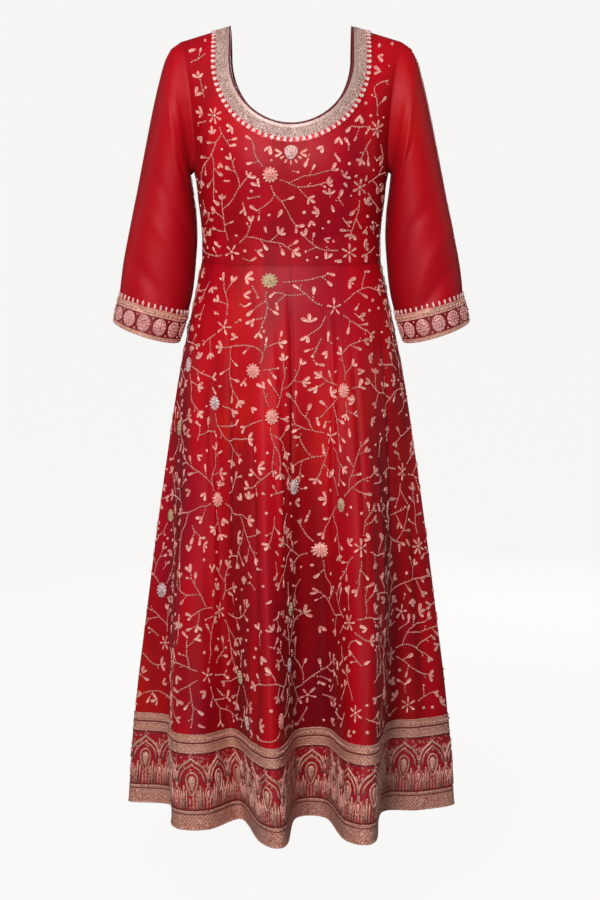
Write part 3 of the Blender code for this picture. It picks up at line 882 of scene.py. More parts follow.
def scatterTree():
    tree = bpy.data.node_groups.new("setOnPoints", "GeometryNodeTree")
    tree.interface.new_socket("Geometry", in_out="INPUT", socket_type="NodeSocketGeometry")
    key = tree.interface.new_socket("Shape", in_out="INPUT", socket_type="NodeSocketObject").identifier
    tree.interface.new_socket("Geometry", in_out="OUTPUT", socket_type="NodeSocketGeometry")
    given = tree.nodes.new("NodeGroupInput")
    points, chosen = (Wire(tree, given.outputs[name]) for name in ("Geometry", "Shape"))
    sockets = {"Points": points}
    sockets["Instance"] = points.node("GeometryNodeObjectInfo", {}, {"Object": chosen}, "Geometry")
    for field, name in (("Rotation", "turn"), ("Scale", "size")):
        vector = {"data_type": "FLOAT_VECTOR"}
        sockets[field] = points.node("GeometryNodeInputNamedAttribute", vector, {"Name": name})
    placed = points.node("GeometryNodeInstanceOnPoints", {}, sockets)
    real = points.node("GeometryNodeRealizeInstances", {}, {0: placed})
    tree.links.new(real.socket, tree.nodes.new("NodeGroupOutput").inputs["Geometry"])
    return tree, key


onPoints, shapeKey = scatterTree()


def setOut(name, spots, shape):
    # the shape at each row's u and -v, with its Y along the heading
    turns = np.zeros((len(spots), 3))
    turns[:, 2] = np.arctan2(-np.sin(spots[:, 2]), -np.cos(spots[:, 2]))
    places = np.stack([spots[:, 0], -spots[:, 1], 0 * spots[:, 0]], axis=1)
    mesh = bpy.data.meshes.new(name)
    mesh.vertices.add(len(places))
    mesh.vertices.foreach_set("co", places.reshape(-1))
    for field, values in (("turn", turns), ("size", spots[:, 3:6])):
        mesh.attributes.new(field, "FLOAT_VECTOR", "POINT").data.foreach_set("vector", values.reshape(-1))
    item = linked(name + "Points", mesh)
    modifier = item.modifiers.new("setOut", "NODES")
    modifier.node_group = onPoints
    modifier[shapeKey] = shape
    made = frozen(item)
    made.name = name
    return made


# Shapes that are repeated

def shapeFrom(name, build):
    mesh = bpy.data.meshes.new(name)
    form = bmesh.new()
    build(form)
    bmesh.ops.recalc_face_normals(form, faces=form.faces)
    form.to_mesh(mesh)
    form.free()
    mesh.shade_smooth()
    return bpy.data.objects.new(name, mesh)


def dome(form, outline, rise, levels, centre=(0, 0), top=1.0):
    # a low cushion over an outline: each level has its share of the outline and of the rise
    atX, atY = centre
    rings = []
    for share, height in levels:
        places = [(mix(atX, x, share), mix(atY, y, share), rise * height) for x, y in outline]
        rings.append([form.verts.new(place) for place in places])
    peak = form.verts.new((atX, atY, rise * top))
    under = form.verts.new((atX, atY, 0))
    around = [(i, (i + 1) % len(outline)) for i in range(len(outline))]
    for low, high in zip(rings, rings[1:]):
        for i, j in around:
            form.faces.new((low[i], low[j], high[j], high[i]))
    for i, j in around:
        form.faces.new((rings[-1][i], rings[-1][j], peak))
        form.faces.new((rings[0][j], rings[0][i], under))


def ovalOutline(halfWide, halfLong, count, middle=0.0):
    angles = [math.tau * i / count for i in range(count)]
    return [(halfWide * math.cos(a), middle + halfLong * math.sin(a)) for a in angles]


def leafOutline(halfWide, length, count):
    # a drop with its point at the origin and its round end at the length
    outline = []
    for i in range(count):
        angle = math.tau * i / count
        along = (1 - math.cos(angle)) / 2
        outline.append((halfWide * math.sin(angle) * (0.35 + 0.65 * along), length * along))
    return outline


def buildBead(form):
    dome(form, ovalOutline(0.5, 0.5, 6), 0.7, ((1.0, 0.0), (0.85, 0.6)))


def buildSeed(form):
    # the plainest bead, for long rows
    dome(form, ovalOutline(0.5, 0.5, 6), 0.7, ((1.0, 0.25),))


def buildLeaf(form):
    # a worked drop: a beaded rim round a filled middle
    levels = ((1.0, 0.0), (0.97, 0.8), (0.80, 1.0), (0.66, 0.55))
    dome(form, leafOutline(0.5, 1.0, 11), 0.16, levels, (0, 0.58), 0.9)


def buildLoop(form):
    # an open drop, only its rim raised
    levels = ((1.0, 0.0), (0.98, 0.75), (0.82, 1.0), (0.64, 0.12))
    dome(form, leafOutline(0.5, 1.0, 11), 0.15, levels, (0, 0.58), 0.10)


def petals(form, count, reach, outline, rise, middle):
    # equal low domes round a centre: the outline's Y points away from it
    for i in range(count):
        angle = math.tau * i / count
        cos, sin = math.cos(angle), math.sin(angle)
        turned = [(x * cos + (reach + y) * -sin, x * sin + (reach + y) * cos) for x, y in outline]
        at = reach + middle
        dome(form, turned, rise, ((1.0, 0.0), (0.90, 0.8)), (at * -sin, at * cos))


def buildRosette(form):
    # twelve small petals round two rings of seeds and a domed centre
    dome(form, ovalOutline(0.40, 0.40, 20), 0.045, ((1.0, 0.0), (0.95, 0.8)))
    petals(form, 12, 0.28, [(x * 0.20, y * 0.22) for x, y in leafOutline(0.5, 1.0, 8)], 0.075, 0.12)
    petals(form, 10, 0.235, ovalOutline(0.060, 0.050, 6), 0.10, 0.0)
    petals(form, 6, 0.130, ovalOutline(0.058, 0.050, 6), 0.12, 0.0)
    dome(form, ovalOutline(0.075, 0.075, 8), 0.15, ((1.0, 0.0), (0.92, 0.6), (0.6, 0.92)))


# Regions of the cloth that trim is laid on. In each, u runs round and v runs down or outwards, and "at" turns
# them into a place and the way out of the cloth there.

def regionOf(points, normals, toColumn, toRow, wide=1.0, high=1.0):
    rows, columns = points.shape[:2]

    def at(u, v):
        r = np.clip(toRow(v), 0, rows - 1.000001)
        c = np.clip(toColumn(u), 0, columns - 1.000001)
        i, j = np.floor(r).astype(int), np.floor(c).astype(int)
        a, b = (r - i)[..., None], (c - j)[..., None]
        found = []
        for grid in (points, normals):
            top = grid[i, j] * (1 - b) + grid[i, j + 1] * b
            low = grid[i + 1, j] * (1 - b) + grid[i + 1, j + 1] * b
            found.append(top * (1 - a) + low * a)
        return found[0], unit(found[1])

    return {"at": at, "wide": wide if callable(wide) else lambda v: wide + 0 * np.asarray(v), "high": high}


def gridRegion(points, normals, firstRow=0, closed=False):
    # measured in metres: u along the middle row, v down from firstRow
    rows, columns = points.shape[:2]
    across = runAlong(points[rows // 2])
    steps = np.linalg.norm(np.diff(points, axis=0), axis=2).mean(axis=1)
    down = np.concatenate([[0], np.cumsum(steps)])
    down = down - down[firstRow]

    def toColumn(u):
        return np.interp(u % across[-1] if closed else u, across, np.arange(columns))

    def toRow(v):
        return np.interp(v, down, np.arange(rows))

    region = regionOf(points, normals, toColumn, toRow)
    region["round"], region["deep"] = float(across[-1]), float(down[-1])
    places = np.stack(np.broadcast_arrays(across[None, :], down[:, None]), axis=-1)
    return region, places


def wrapOnto(region, mesh, centres, perSpot, lift):
    # lays a flat mesh onto the cloth: the vertices of each spot are measured from that spot's centre
    count = len(mesh.vertices)
    flat = np.zeros(count * 3)
    mesh.vertices.foreach_get("co", flat)
    flat = flat.reshape(-1, 3)
    spot = np.arange(count) // perSpot
    u, v = centres[spot, 0], centres[spot, 1]
    middle = np.stack([u, -v], axis=1)
    off = flat[:, :2] - middle
    wide = region["wide"](v)
    places, outs = region["at"](u + off[:, 0] / wide, v - off[:, 1] / region["high"])
    mesh.vertices.foreach_set("co", (places + outs * (flat[:, 2] + lift)[:, None]).reshape(-1))
    mesh.update()


def laidOut(name, region, spots, shape, material, lift=onCloth):
    # spots are rows of u, v, heading, width, length and height
    # a heading of 0 is down, and it grows towards the wearer's left
    spots = np.array(spots, float)
    mesh = setOut(name, spots, shape)
    wrapOnto(region, mesh, spots[:, :2], len(shape.data.vertices), lift)
    return addPiece(name, mesh, material)


# The vines: flowers from which stems wander, with side twigs that end in drops

vine = {
    "seed": 11,
    "step": 0.0050,
    "clear": 0.0090,
    "bend": 14.0,
    "turnBack": 0.12,
    "waver": 0.15,
    "flowerGap": 0.072,
    "flowerRoom": 0.012,
    "rosetteShare": 0.50,
    "rosette": (0.021, 0.026),
    "petal": (0.0095, 0.0125),
    "stemRun": (0.030, 0.085),
    "twigGap": (0.011, 0.019),
    "twigFirst": 0.0085,
    "twigRun": (0.004, 0.014),
    "leaf": (0.0095, 0.0145),
    "leafHigh": 0.75,
    "leafWide": 0.54,
    "loopShare": 0.28,
    "beadPitch": 0.0035,
    "bead": (0.0031, 0.0034, 0.0016),  # width, length and height
    "dot": 0.0054,
    "flowerTries": 4000,
    "fillTries": 6000,
    "fillGap": 0.0120,
    "fillStem": (0.015, 0.045),
    "fillPicks": (0.38, 0.78),  # below these, a stem or a spray
    "branchShare": 0.36,
    "shortShare": 0.4,
    "sprayShare": 0.6,
    "sprayTurn": (0.75, 1.05),
    "leafRoom": 0.0066,
    "dotRoom": 0.0045,
    "twigRoom": 0.0055,
    "rosetteReach": 0.0160,  # where the stems start
    "flowerReach": 0.0190,
    "flowerHeart": 0.009,
    "petalFrom": 0.0028,
    "petalWide": 0.44,
    "most": 60000,  # places taken
}


class Growth:
    # stems, leaves and flowers over a region, none of which crosses what is there already
    def __init__(self, region, bounds, seedNumber, closed):
        self.region = region
        self.closed = closed
        (self.lowU, self.highU), (self.lowV, self.highV) = bounds
        self.random = np.random.default_rng(seedNumber)
        self.taken = np.zeros((vine["most"], 3))
        self.count = 0
        self.found = {"stems": [], "leaves": [], "loops": [], "dots": [], "flowers": []}

    def distances(self, others, u, v):
        off = np.abs(others[:, 0] - u)
        if self.closed:
            off = np.minimum(off, self.highU - self.lowU - off)
        return np.hypot(off * self.region["wide"](v), (others[:, 1] - v) * self.region["high"])

    def room(self, u, v, radius, skip=0):
        if not self.region["inside"](u, v):
            return False
        known = self.taken[: max(self.count - skip, 0)]
        return not (self.distances(known, u, v) < radius + known[:, 2]).any()

    def take(self, u, v, radius=0.0):
        self.taken[self.count] = (u, v, radius)
        self.count += 1

    def moved(self, u, v, heading, run):
        u = u + run * math.sin(heading) / float(self.region["wide"](v))
        if self.closed:
            u = self.lowU + (u - self.lowU) % (self.highU - self.lowU)
        return u, v + run * math.cos(heading) / self.region["high"]

    def anywhere(self):
        # an even spread over the cloth, which is wider lower down
        u, v = self.random.uniform(self.lowU, self.highU), self.random.uniform(self.lowV, self.highV)
        kept = self.random.random() < float(self.region["wide"](v)) / self.region["widest"]
        return (u, v) if kept and self.region["inside"](u, v) else None

    def addDot(self, u, v, heading, scale):
        self.found["dots"].append((u, v, heading, vine["dot"] * scale))
        self.take(u, v, 0.001)

    def leafKind(self):
        return "loops" if self.random.random() < vine["loopShare"] else "leaves"

    def addLeaf(self, u, v, heading, skip):
        length = self.random.uniform(*vine["leaf"])
        if not self.room(*self.moved(u, v, heading, length * 0.6), vine["leafRoom"], skip):
            if self.room(*self.moved(u, v, heading, 0.003), vine["dotRoom"], skip):
                self.addDot(u, v, heading, self.random.uniform(0.7, 1.0))
            return
        kind = self.leafKind()
        wide = length * vine["leafWide"] * self.random.uniform(0.85, 1.2)
        self.found[kind].append((u, v, heading, wide, length))
        self.take(*self.moved(u, v, heading, length * 0.35), 0.001)
        self.take(*self.moved(u, v, heading, length * 0.75), 0.002)

    def addSpray(self, u, v, heading, skip):
        self.addLeaf(u, v, heading, skip)
        spread = self.random.uniform(*vine["sprayTurn"])
        for side in (-1, 1):
            if self.random.random() < vine["sprayShare"]:
                self.addLeaf(u, v, heading + side * spread, skip + 4)

    def addStem(self, u, v, heading, run, depth, skip):
        points, twigs = [(u, v)], []
        bend = self.random.uniform(-1, 1) * vine["bend"]
        side = 1 if self.random.random() < 0.5 else -1
        walked, nextTwig = 0.0, self.random.uniform(*vine["twigGap"]) * 0.8
        while walked < run:
            heading += bend * vine["step"] + self.random.normal(0, vine["waver"])
            if self.random.random() < vine["turnBack"]:
                bend = -bend
            ahead = self.moved(u, v, heading, vine["step"])
            if not self.room(*ahead, vine["clear"], skip):
                break
            u, v = ahead
            points.append(ahead)
            walked += vine["step"]
            self.take(u, v)
            skip = min(skip + 1, 3)
            if walked >= nextTwig:
                twigs.append((u, v, heading + side * self.random.uniform(0.6, 1.2)))
                side = -side
                nextTwig += self.random.uniform(*vine["twigGap"])
        if len(points) < 2:
            return
        self.found["stems"].append(points)
        self.addSpray(u, v, heading, 3)
        for twig in twigs:
            self.addTwig(*twig, depth)

    def addTwig(self, u, v, heading, depth):
        end = self.moved(u, v, heading, vine["twigFirst"])
        if not self.room(*end, vine["twigRoom"]):
            return
        middle = self.moved(u, v, heading, vine["twigFirst"] / 2)
        self.found["stems"].append([(u, v), middle, end])
        self.take(*middle)
        self.take(*end)
        if depth < 2 and self.random.random() < vine["branchShare"]:
            self.addStem(*end, heading, self.random.uniform(*vine["stemRun"]), depth + 1, 2)
        elif self.random.random() < vine["shortShare"]:
            self.addStem(*end, heading, self.random.uniform(*vine["twigRun"]), 3, 2)
        else:
            self.addLeaf(*end, heading, 2)

    def addFlower(self, u, v):
        turn = self.random.uniform(0, math.tau)
        if self.random.random() < vine["rosetteShare"]:
            self.found["flowers"].append((u, v, turn, self.random.uniform(*vine["rosette"])))
            reach = vine["rosetteReach"]
        else:
            count = int(self.random.integers(5, 8))
            for i in range(count):
                angle = turn + math.tau * i / count
                length = self.random.uniform(*vine["petal"])
                start = self.moved(u, v, angle, vine["petalFrom"])
                self.found[self.leafKind()].append((*start, angle, length * vine["petalWide"], length))
            self.addDot(u, v, turn, 1.05)
            reach = vine["flowerReach"]
        self.take(u, v, vine["flowerHeart"])
        for i in range(int(self.random.integers(3, 6))):
            angle = turn + math.tau * i / 5 + self.random.uniform(-0.4, 0.4)
            start = self.moved(u, v, angle, reach)
            self.addStem(*start, angle, self.random.uniform(*vine["stemRun"]), 0, 0)

    def grow(self):
        spots = np.zeros((0, 2))
        for _ in range(vine["flowerTries"]):
            spot = self.anywhere()
            if spot is not None and not (self.distances(spots, *spot) < vine["flowerGap"]).any():
                spots = np.append(spots, [spot], axis=0)
        for spot in spots:
            around = [self.moved(*spot, turn, vine["flowerRoom"]) for turn in (0.0, 1.6, 3.1, 4.7)]
            if self.room(*spot, 0.012) and all(self.region["inside"](*place) for place in around):
                self.addFlower(*spot)
        for _ in range(vine["fillTries"]):
            spot = self.anywhere()
            if spot is None or not self.room(*spot, vine["fillGap"]):
                continue
            heading, pick = self.random.uniform(0, math.tau), self.random.random()
            if pick < vine["fillPicks"][0]:
                self.take(*spot)
                self.addStem(*spot, heading, self.random.uniform(*vine["fillStem"]), 1, 1)
            elif pick < vine["fillPicks"][1]:
                self.addSpray(*spot, heading, 0)
            else:
                self.addDot(*spot, heading, self.random.uniform(0.9, 1.3))
        return self.found


def beadsAlong(region, stems, pitch, size, closed=None):
    spots = []
    for points in stems:
        line = np.array(points, float)
        if closed is not None:
            line[:, 0] = np.unwrap(line[:, 0], period=closed)
        lineU, lineV = line.T
        wide = region["wide"](lineV)
        steps = np.hypot(np.diff(lineU) * (wide[1:] + wide[:-1]) / 2, np.diff(lineV) * region["high"])
        runs = np.concatenate([[0], np.cumsum(steps)])
        count = max(int(round(runs[-1] / pitch)), 1)
        at = (np.arange(count) + 0.5) * runs[-1] / count
        u, v = np.interp(at, runs, lineU), np.interp(at, runs, lineV)
        ahead = np.minimum(at + 0.002, runs[-1])
        behind = np.maximum(at - 0.002, 0)
        runU = (np.interp(ahead, runs, lineU) - np.interp(behind, runs, lineU)) * region["wide"](v)
        runV = (np.interp(ahead, runs, lineV) - np.interp(behind, runs, lineV)) * region["high"]
        if closed is not None:
            u = u % closed
        spots += [(a, b, h, *size) for a, b, h in zip(u, v, np.arctan2(runU, runV))]
    return spots


def addVines(name, region, grown, closed, finishes):
    main = finishes[0]
    builds = {"Stems": buildSeed, "Leaves": buildLeaf, "Loops": buildLoop, "Dots": buildBead}
    rows = {"Stems": beadsAlong(region, grown["stems"], vine["beadPitch"], vine["bead"], closed)}
    for kind in ("Leaves", "Loops"):
        rows[kind] = [(*spot, spot[-1] * vine["leafHigh"]) for spot in grown[kind.lower()]]
    rows["Dots"] = [(u, v, turn, wide, wide, wide * 0.5) for u, v, turn, wide in grown["dots"]]
    pieces = []
    for kind, build in builds.items():
        shape = shapeFrom(kind + "Shape", build)
        pieces.append(laidOut(name + kind, region, rows[kind], shape, main))
    rosette = shapeFrom("rosette", buildRosette)
    for number, finish in enumerate(finishes):
        spots = [(u, v, turn, wide, wide, wide) for u, v, turn, wide in grown["flowers"][number::3]]
        if spots:
            pieceName = f"{name}Flowers{number + 1}"
            pieces.append(laidOut(pieceName, region, spots, rosette, finish))
    return pieces


def skirtRegion(grid, normals, shares, hemRound):
    waistRound = np.linalg.norm(np.diff(grid[0], axis=0), axis=1).sum()
    kalis, columns = cut["kalis"], fine["kaliColumns"]
    top = shares[fine["skirtRows"]]

    def wide(v):
        return mix(waistRound, hemRound, np.asarray(v)) / kalis

    def toRow(v):
        return np.interp(v, shares, np.arange(len(shares)))

    height = cut["waistZ"] - cut["hemZ"]
    region = regionOf(grid, normals, lambda u: (u % kalis) * columns, toRow, wide, height)
    region["widest"] = float(wide(top))
    region["inside"] = lambda u, v: patch["belowWaist"] < v < top - patch["aboveBorder"]
    return region, top


patch = {  # where the vines may grow
    "belowWaist": 0.012,  # in shares of the skirt's height
    "aboveBorder": 0.008,
    "samples": 181,
    "half": 0.19,
    "widestAngle": 1.5,
    "margin": 0.008,
    "aboveWaist": 0.006,
    "belowArmhole": 0.004,
    "belowShoulder": 0.012,
    "roundMotif": 0.027,
    "reach": 0.008,  # how far the cloth may lie from its exact place
}


def settled(mesh, grid, outs):
    # moves each place onto the cloth as it is modelled, whose cells are larger than the beads
    points, faces = [point.co for point in mesh.vertices], [face.vertices for face in mesh.polygons]
    tree = BVHTree.FromPolygons(points, faces)
    places, ways = grid.reshape(-1, 3), outs.reshape(-1, 3)
    for i, (place, way) in enumerate(zip(places, ways)):
        hit = tree.ray_cast(Vector(place + way * patch["reach"]), Vector(-way), 2 * patch["reach"])[0]
        if hit is not None:
            places[i] = np.array(hit) - way * layers["cloth"][1]
    return places.reshape(grid.shape)


def bodiceRegion(side, motifZ, mesh):
    # the front or back in metres across and down, kept inside neck, shoulders and armholes
    count, half, margin = patch["samples"], patch["half"], patch["margin"]
    sign = 1 if side == "front" else -1
    us = np.linspace(-half, half, count)
    vs = np.linspace(-0.002, -cut["waistZ"], count)
    angles = np.linspace(-patch["widestAngle"], patch["widestAngle"], 4 * count)
    grid, near = [], []
    for v in vs:
        line = bodicePoint(side, sign * angles, -v + 0 * angles)
        runs = runAlong(line)
        angle = np.interp(us + runs[-1] / 2, runs, angles)
        grid.append(bodicePoint(side, sign * angle, -v + 0 * angle))
        near.append(np.abs(us) < runs[-1] / 2 - margin)
    grid = np.array(grid)
    outs = unit(np.cross(np.gradient(grid, axis=0), np.gradient(grid, axis=1)))
    outs = outs * np.where((outs * grid)[..., :2].sum(axis=-1, keepdims=True) < 0, -1.0, 1.0)
    x, z = np.abs(grid[..., 0]), grid[..., 2]
    down = np.clip((z + cut["shoulderDrop"]) / (cut["underarmZ"] + cut["shoulderDrop"]), 0, 1)
    turn = np.arccos(1 - 2 * down)
    armX = mix(cut["shoulderTip"], cut["underarmHalf"], down) - cut["armholeInset"][side] * np.sin(turn)
    reach = cut["neckHalf"] + cut["neckBand"] + margin
    drop = cut["neckRound"][side] + cut["neckBand"] + margin
    belowNeck = np.minimum(z + cut["neckStraight"], 0)
    mask = np.array(near) & (z > cut["waistZ"] + patch["aboveWaist"]) & (z < shoulderHeight(x) - margin)
    mask &= (x < armX - margin) | (z < cut["underarmZ"] - patch["belowArmhole"])
    mask &= (x / reach) ** 2 + (belowNeck / drop) ** 2 > 1
    if side == "front":
        mask &= np.hypot(x, z - motifZ) > patch["roundMotif"]

    def toColumn(u):
        return (u + half) / (2 * half) * (count - 1)

    def toRow(v):
        return (v - vs[0]) / (vs[-1] - vs[0]) * (count - 1)

    region = regionOf(settled(mesh, grid, outs), outs, toColumn, toRow)
    region["widest"] = 1.0

    def inside(u, v):
        return 0 < v < vs[-1] and abs(u) < half and bool(mask[round(toRow(v)), round(toColumn(u))])

    region["inside"] = inside
    return region


# Trim: how its beads and cords are laid in rows

def rowOf(low, high, v, pitch, size, heading=math.pi / 2, shift=0.0):
    count = max(int(round((high - low) / pitch)), 1)
    return [(low + (i + 0.5 + shift) * (high - low) / count, v, heading, *size) for i in range(count)]


def ribbon(form, line, width, rise, closed=False):
    # a raised cord along a flat line of points, with three sides
    line = np.array(line, float)
    steps = np.roll(line, -1, axis=0) - np.roll(line, 1, axis=0) if closed else np.gradient(line, axis=0)
    ahead = unit(steps)
    side = np.stack([-ahead[:, 1], ahead[:, 0]], axis=1) * width / 2
    rings = []
    for point, off in zip(line, side):
        places = ((*(point + off), 0), (*point, rise), (*(point - off), 0))
        rings.append([form.verts.new(place) for place in places])
    pairs = list(zip(rings, rings[1:] + rings[:1]))
    for low, high in pairs if closed else pairs[:-1]:
        for i in range(3):
            j = (i + 1) % 3
            form.faces.new((low[i], low[j], high[j], high[i]))
    if not closed:
        form.faces.new(rings[0])
        form.faces.new(rings[-1][::-1])


def ball(form, place, size):
    made = bmesh.ops.create_icosphere(form, subdivisions=1, radius=size / 2)
    bmesh.ops.translate(form, verts=made["verts"], vec=place)


# Metals and silks

zari = {
    "pink": {"light": (1.0, 0.56, 0.48, 1), "dark": (0.80, 0.20, 0.17, 1)},
    "green": {"light": (0.74, 0.57, 0.36, 1), "dark": (0.44, 0.24, 0.12, 1)},
    "silver": {"light": (0.92, 0.74, 0.74, 1), "dark": (0.54, 0.30, 0.29, 1)},
    "white": {"light": (1.0, 0.78, 0.74, 1), "dark": (0.74, 0.38, 0.36, 1)},
    "neck": {"light": (0.80, 0.58, 0.51, 1), "dark": (0.36, 0.20, 0.17, 1)},
    "beige": {"light": (0.96, 0.56, 0.44, 1), "dark": (0.50, 0.18, 0.135, 1)},
    "rose": {"light": (0.90, 0.47, 0.43, 1), "dark": (0.50, 0.15, 0.145, 1)},
    "gold": {"light": (0.86, 0.47, 0.37, 1), "dark": (0.44, 0.15, 0.11, 1)},
    "metal": 0.12,
    "roughness": 0.40,
    "beadSize": 0.0016,
    "gap": (0.25, 0.75),
    "shade": (0.12, 0.72),
    "cloud": 45.0,
}
silk = {
    "maroon": (0.400, 0.0045, 0.015, 1),
    "deep": (0.150, 0.010, 0.014, 1),
    "beige": (0.80, 0.440, 0.330, 1),
    "tan": (0.38, 0.112, 0.080, 1),
    "rose": (0.56, 0.37, 0.325, 1),
    "piping": (0.150, 0.012, 0.018, 1),
    "edge": 0.0004,  # half the width of the change between two silks
}


def zariMaterial(name, tone):
    fixed = {"Roughness": zari["roughness"], "Metallic": zari["metal"], "Specular IOR Level": 0.6}
    material, start, shader = startMaterial(name, fixed)
    place = start.node("ShaderNodeTexCoord", out="Object")
    tint = place.cells(zari["beadSize"], "Color").part(0)
    cloud = place.noise(zari["cloud"], 2.0)
    gap = place.cells(zari["beadSize"]).smooth(*zari["gap"])
    # darker in the gaps between the small beads: painted shade between them
    shade = (tint * 0.7 + cloud * 0.6 - 0.1) * (1 - gap * 0.35)
    colour = shade.smooth(*zari["shade"]).blend(zari[tone]["dark"], zari[tone]["light"])
    feed(shader, {"Base Color": colour, "Normal": (1 - gap).bump(0.6, 0.0005)})
    return material


def silkMaterial(name, colour, roughness=0.42):
    material, start, shader = startMaterial(name, {"Roughness": roughness, "Sheen Weight": 0.05})
    place = start.node("ShaderNodeTexCoord", out="Object")
    grain = place.noise(900.0, 2.0)
    feed(shader, {"Base Color": (grain * 0.3 + 0.85).shaded(colour), "Normal": grain.bump(0.3, 0.0002)})
    return material


def placesIn(start):
    flat = start.node("ShaderNodeUVMap", {"uv_map": "cloth"})
    return flat, flat.part(0), flat.part(1)


def neckMaterial():
    # a satin strip beside the neck, then close beadwork
    material, start, shader = startMaterial("neckBeadwork", {"Roughness": 0.40, "Metallic": 0.22})
    flat, _, v = placesIn(start)
    worked = v.past(neckTrim["strip"], silk["edge"])
    tint = flat.cells(neckTrim["bead"], "Color").part(0)
    gap = flat.cells(neckTrim["bead"]).smooth(0.30, 0.70)
    # darker in the gaps between the small beads: painted shade between them
    shade = (tint * 0.9 + 0.1) * (1 - gap * 0.7)
    beads = shade.smooth(0.10, 0.78).blend(zari["neck"]["dark"], zari["neck"]["light"])
    pits = flat.cells(neckTrim["grain"]).smooth(0.25, 0.75)
    grain = 1 - pits * 0.38 + flat.noise(700.0, 2.0) * 0.2
    colour = worked.blend(grain.shaded(silk["rose"]), beads)
    colour = v.past(neckTrim["cloth"], silk["edge"]).blend(colour, georgette["red"])
    height = (1 - gap) * worked + grain * 0.5
    feed(shader, {"Base Color": colour, "Normal": height.bump(0.7, 0.0006)})
    return material


def cuffMaterial():
    # two gold bands with maroon silk between them
    material, start, shader = startMaterial("cuffBrocade", {"Roughness": 0.42, "Metallic": 0.16})
    flat, u, v = placesIn(start)
    thread = flat.noise(1100.0, 2.0)
    edge, (pitchU, pitchV) = silk["edge"], cuffTrim["weave"]
    gold = v.band(-0.01, cuffTrim["topBand"], edge).either(v.past(cuffTrim["lowBand"], edge))
    weave = ((u.wave(pitchU) * v.wave(pitchV)) * 0.5 + 0.5) * 0.7 + thread * 0.6
    goldTone = weave.smooth(0.15, 0.95).blend(silk["tan"], silk["beige"])
    figured = (1 - flat.cells(cuffTrim["figure"]).smooth(0.10, 0.45)) * thread.smooth(0.35, 0.65)
    ground = (figured * 0.30).blend((thread * 0.4 + 0.38).shaded(silk["maroon"]), silk["tan"])
    colour = gold.blend(ground, goldTone)
    feed(shader, {"Base Color": colour, "Normal": (weave * gold + thread * 0.4).bump(0.5, 0.0004)})
    return material


def borderMaterial():
    # v runs down from the border's top in metres, u counts arches
    material, start, shader = startMaterial("borderBrocade", {"Roughness": 0.44, "Metallic": 0.14})
    _, u, v = placesIn(start)
    across = u * borderTrim["pitch"]
    plane = start.node("ShaderNodeCombineXYZ", {}, {0: across, 1: v})
    thread = plane.noise(1000.0, 2.0)
    fleck = plane.cells(borderTrim["fleck"], "Color")
    spots = plane.cells(borderTrim["fleck"]).smooth(0.24, 0.46)
    pitchU, pitchV = borderTrim["weave"]
    weave = (across.wave(pitchU) * v.wave(pitchV)) * 0.5 + 0.5
    mottle = plane.noise(330.0, 3.0)
    tone = (weave * 0.40 + thread * 0.35 + mottle * 0.9 - spots * 0.14).smooth(0.42, 0.98)
    woven = tone.blend(silk["tan"], silk["beige"])
    bright = ((1 - spots) * fleck.part(1).smooth(0.66, 0.76)).blend(woven, zari["pink"]["light"])
    bright = ((1 - spots) * fleck.part(2).smooth(0.58, 0.68) * 0.8).blend(bright, silk["maroon"])
    bands = v.past(borderTrim["lowLine"], 0.001).blend(woven, bright)
    lines = v.band(*borderTrim["darkLines"][0])
    for row in borderTrim["darkLines"][1:]:
        lines = lines.either(v.band(*row))
    sprig = (1 - plane.cells(borderTrim["sprig"]).smooth(0.24, 0.44)) * v.band(*borderTrim["sprigZone"])
    stripe = (across.wave(borderTrim["pitch"] / 10) * 0.5 + 0.5).smooth(0.26, 0.50)
    fill = stripe * v.band(*borderTrim["stripeZone"]) * plane.noise(160.0, 2.0).smooth(0.32, 0.48)
    ground = (thread * 0.5 + 0.75).shaded(silk["maroon"])
    ground = (fill.either(sprig * 0.75) * 0.9).blend(ground, woven)
    colour = v.band(*borderTrim["zone"]).blend(bands, ground)
    colour = lines.blend(colour, silk["deep"])
    height = weave * 0.5 + thread + fill * 0.5
    feed(shader, {"Base Color": colour, "Normal": height.bump(0.5, 0.0004)})
    return material


# The neck band, its piping and the motif below it

neckTrim = {
    "columns": 72,
    "rows": 8,
    "strip": 0.0048,
    "cloth": 0.0204,  # the cloth shows between the drops from here on
    "bead": 0.0024,
    "grain": 0.0013,
    "beadRows": [  # distance out from the neck, pitch, length along, width, height
        (0.0058, 0.0026, 0.0024, 0.0020, 0.0018),
        (0.0082, 0.0034, 0.0026, 0.0030, 0.0016),
        (0.0106, 0.0034, 0.0026, 0.0030, 0.0016),
        (0.0134, 0.0029, 0.0024, 0.0024, 0.0018),
        (0.0162, 0.0034, 0.0026, 0.0030, 0.0016),
        (0.0188, 0.0026, 0.0024, 0.0022, 0.0020),
    ],
    "drop": (0.0080, 0.0084, 0.0130),
    "dropFrom": 0.0190,
    "dropPitch": 0.0090,
}
piping = {"radius": 0.0016, "gap": 0.0004, "rise": 0.0016}
motif = {
    "halfWide": 0.0125,
    "halfHigh": 0.0105,
    "below": 0.004,
    "rise": 0.0026,
    "balls": [  # share of the outline, height, number, size
        (0.93, 0.6, 22, 0.0030),
        (0.68, 0.95, 14, 0.0034),
        (0.40, 1.05, 8, 0.0034),
        (0, 1.2, 1, 0.0050),
    ],
    "dropReach": (0.0118, 0.0108),
    "dropTurn": 0.52,
    "drop": (0.0048, 0.0080, 0.0110),
    "loopReach": (0.0135, 0.001),
    "loopTurn": 0.45,
    "loop": (0.0062, 0.0130, 0.0110),
}


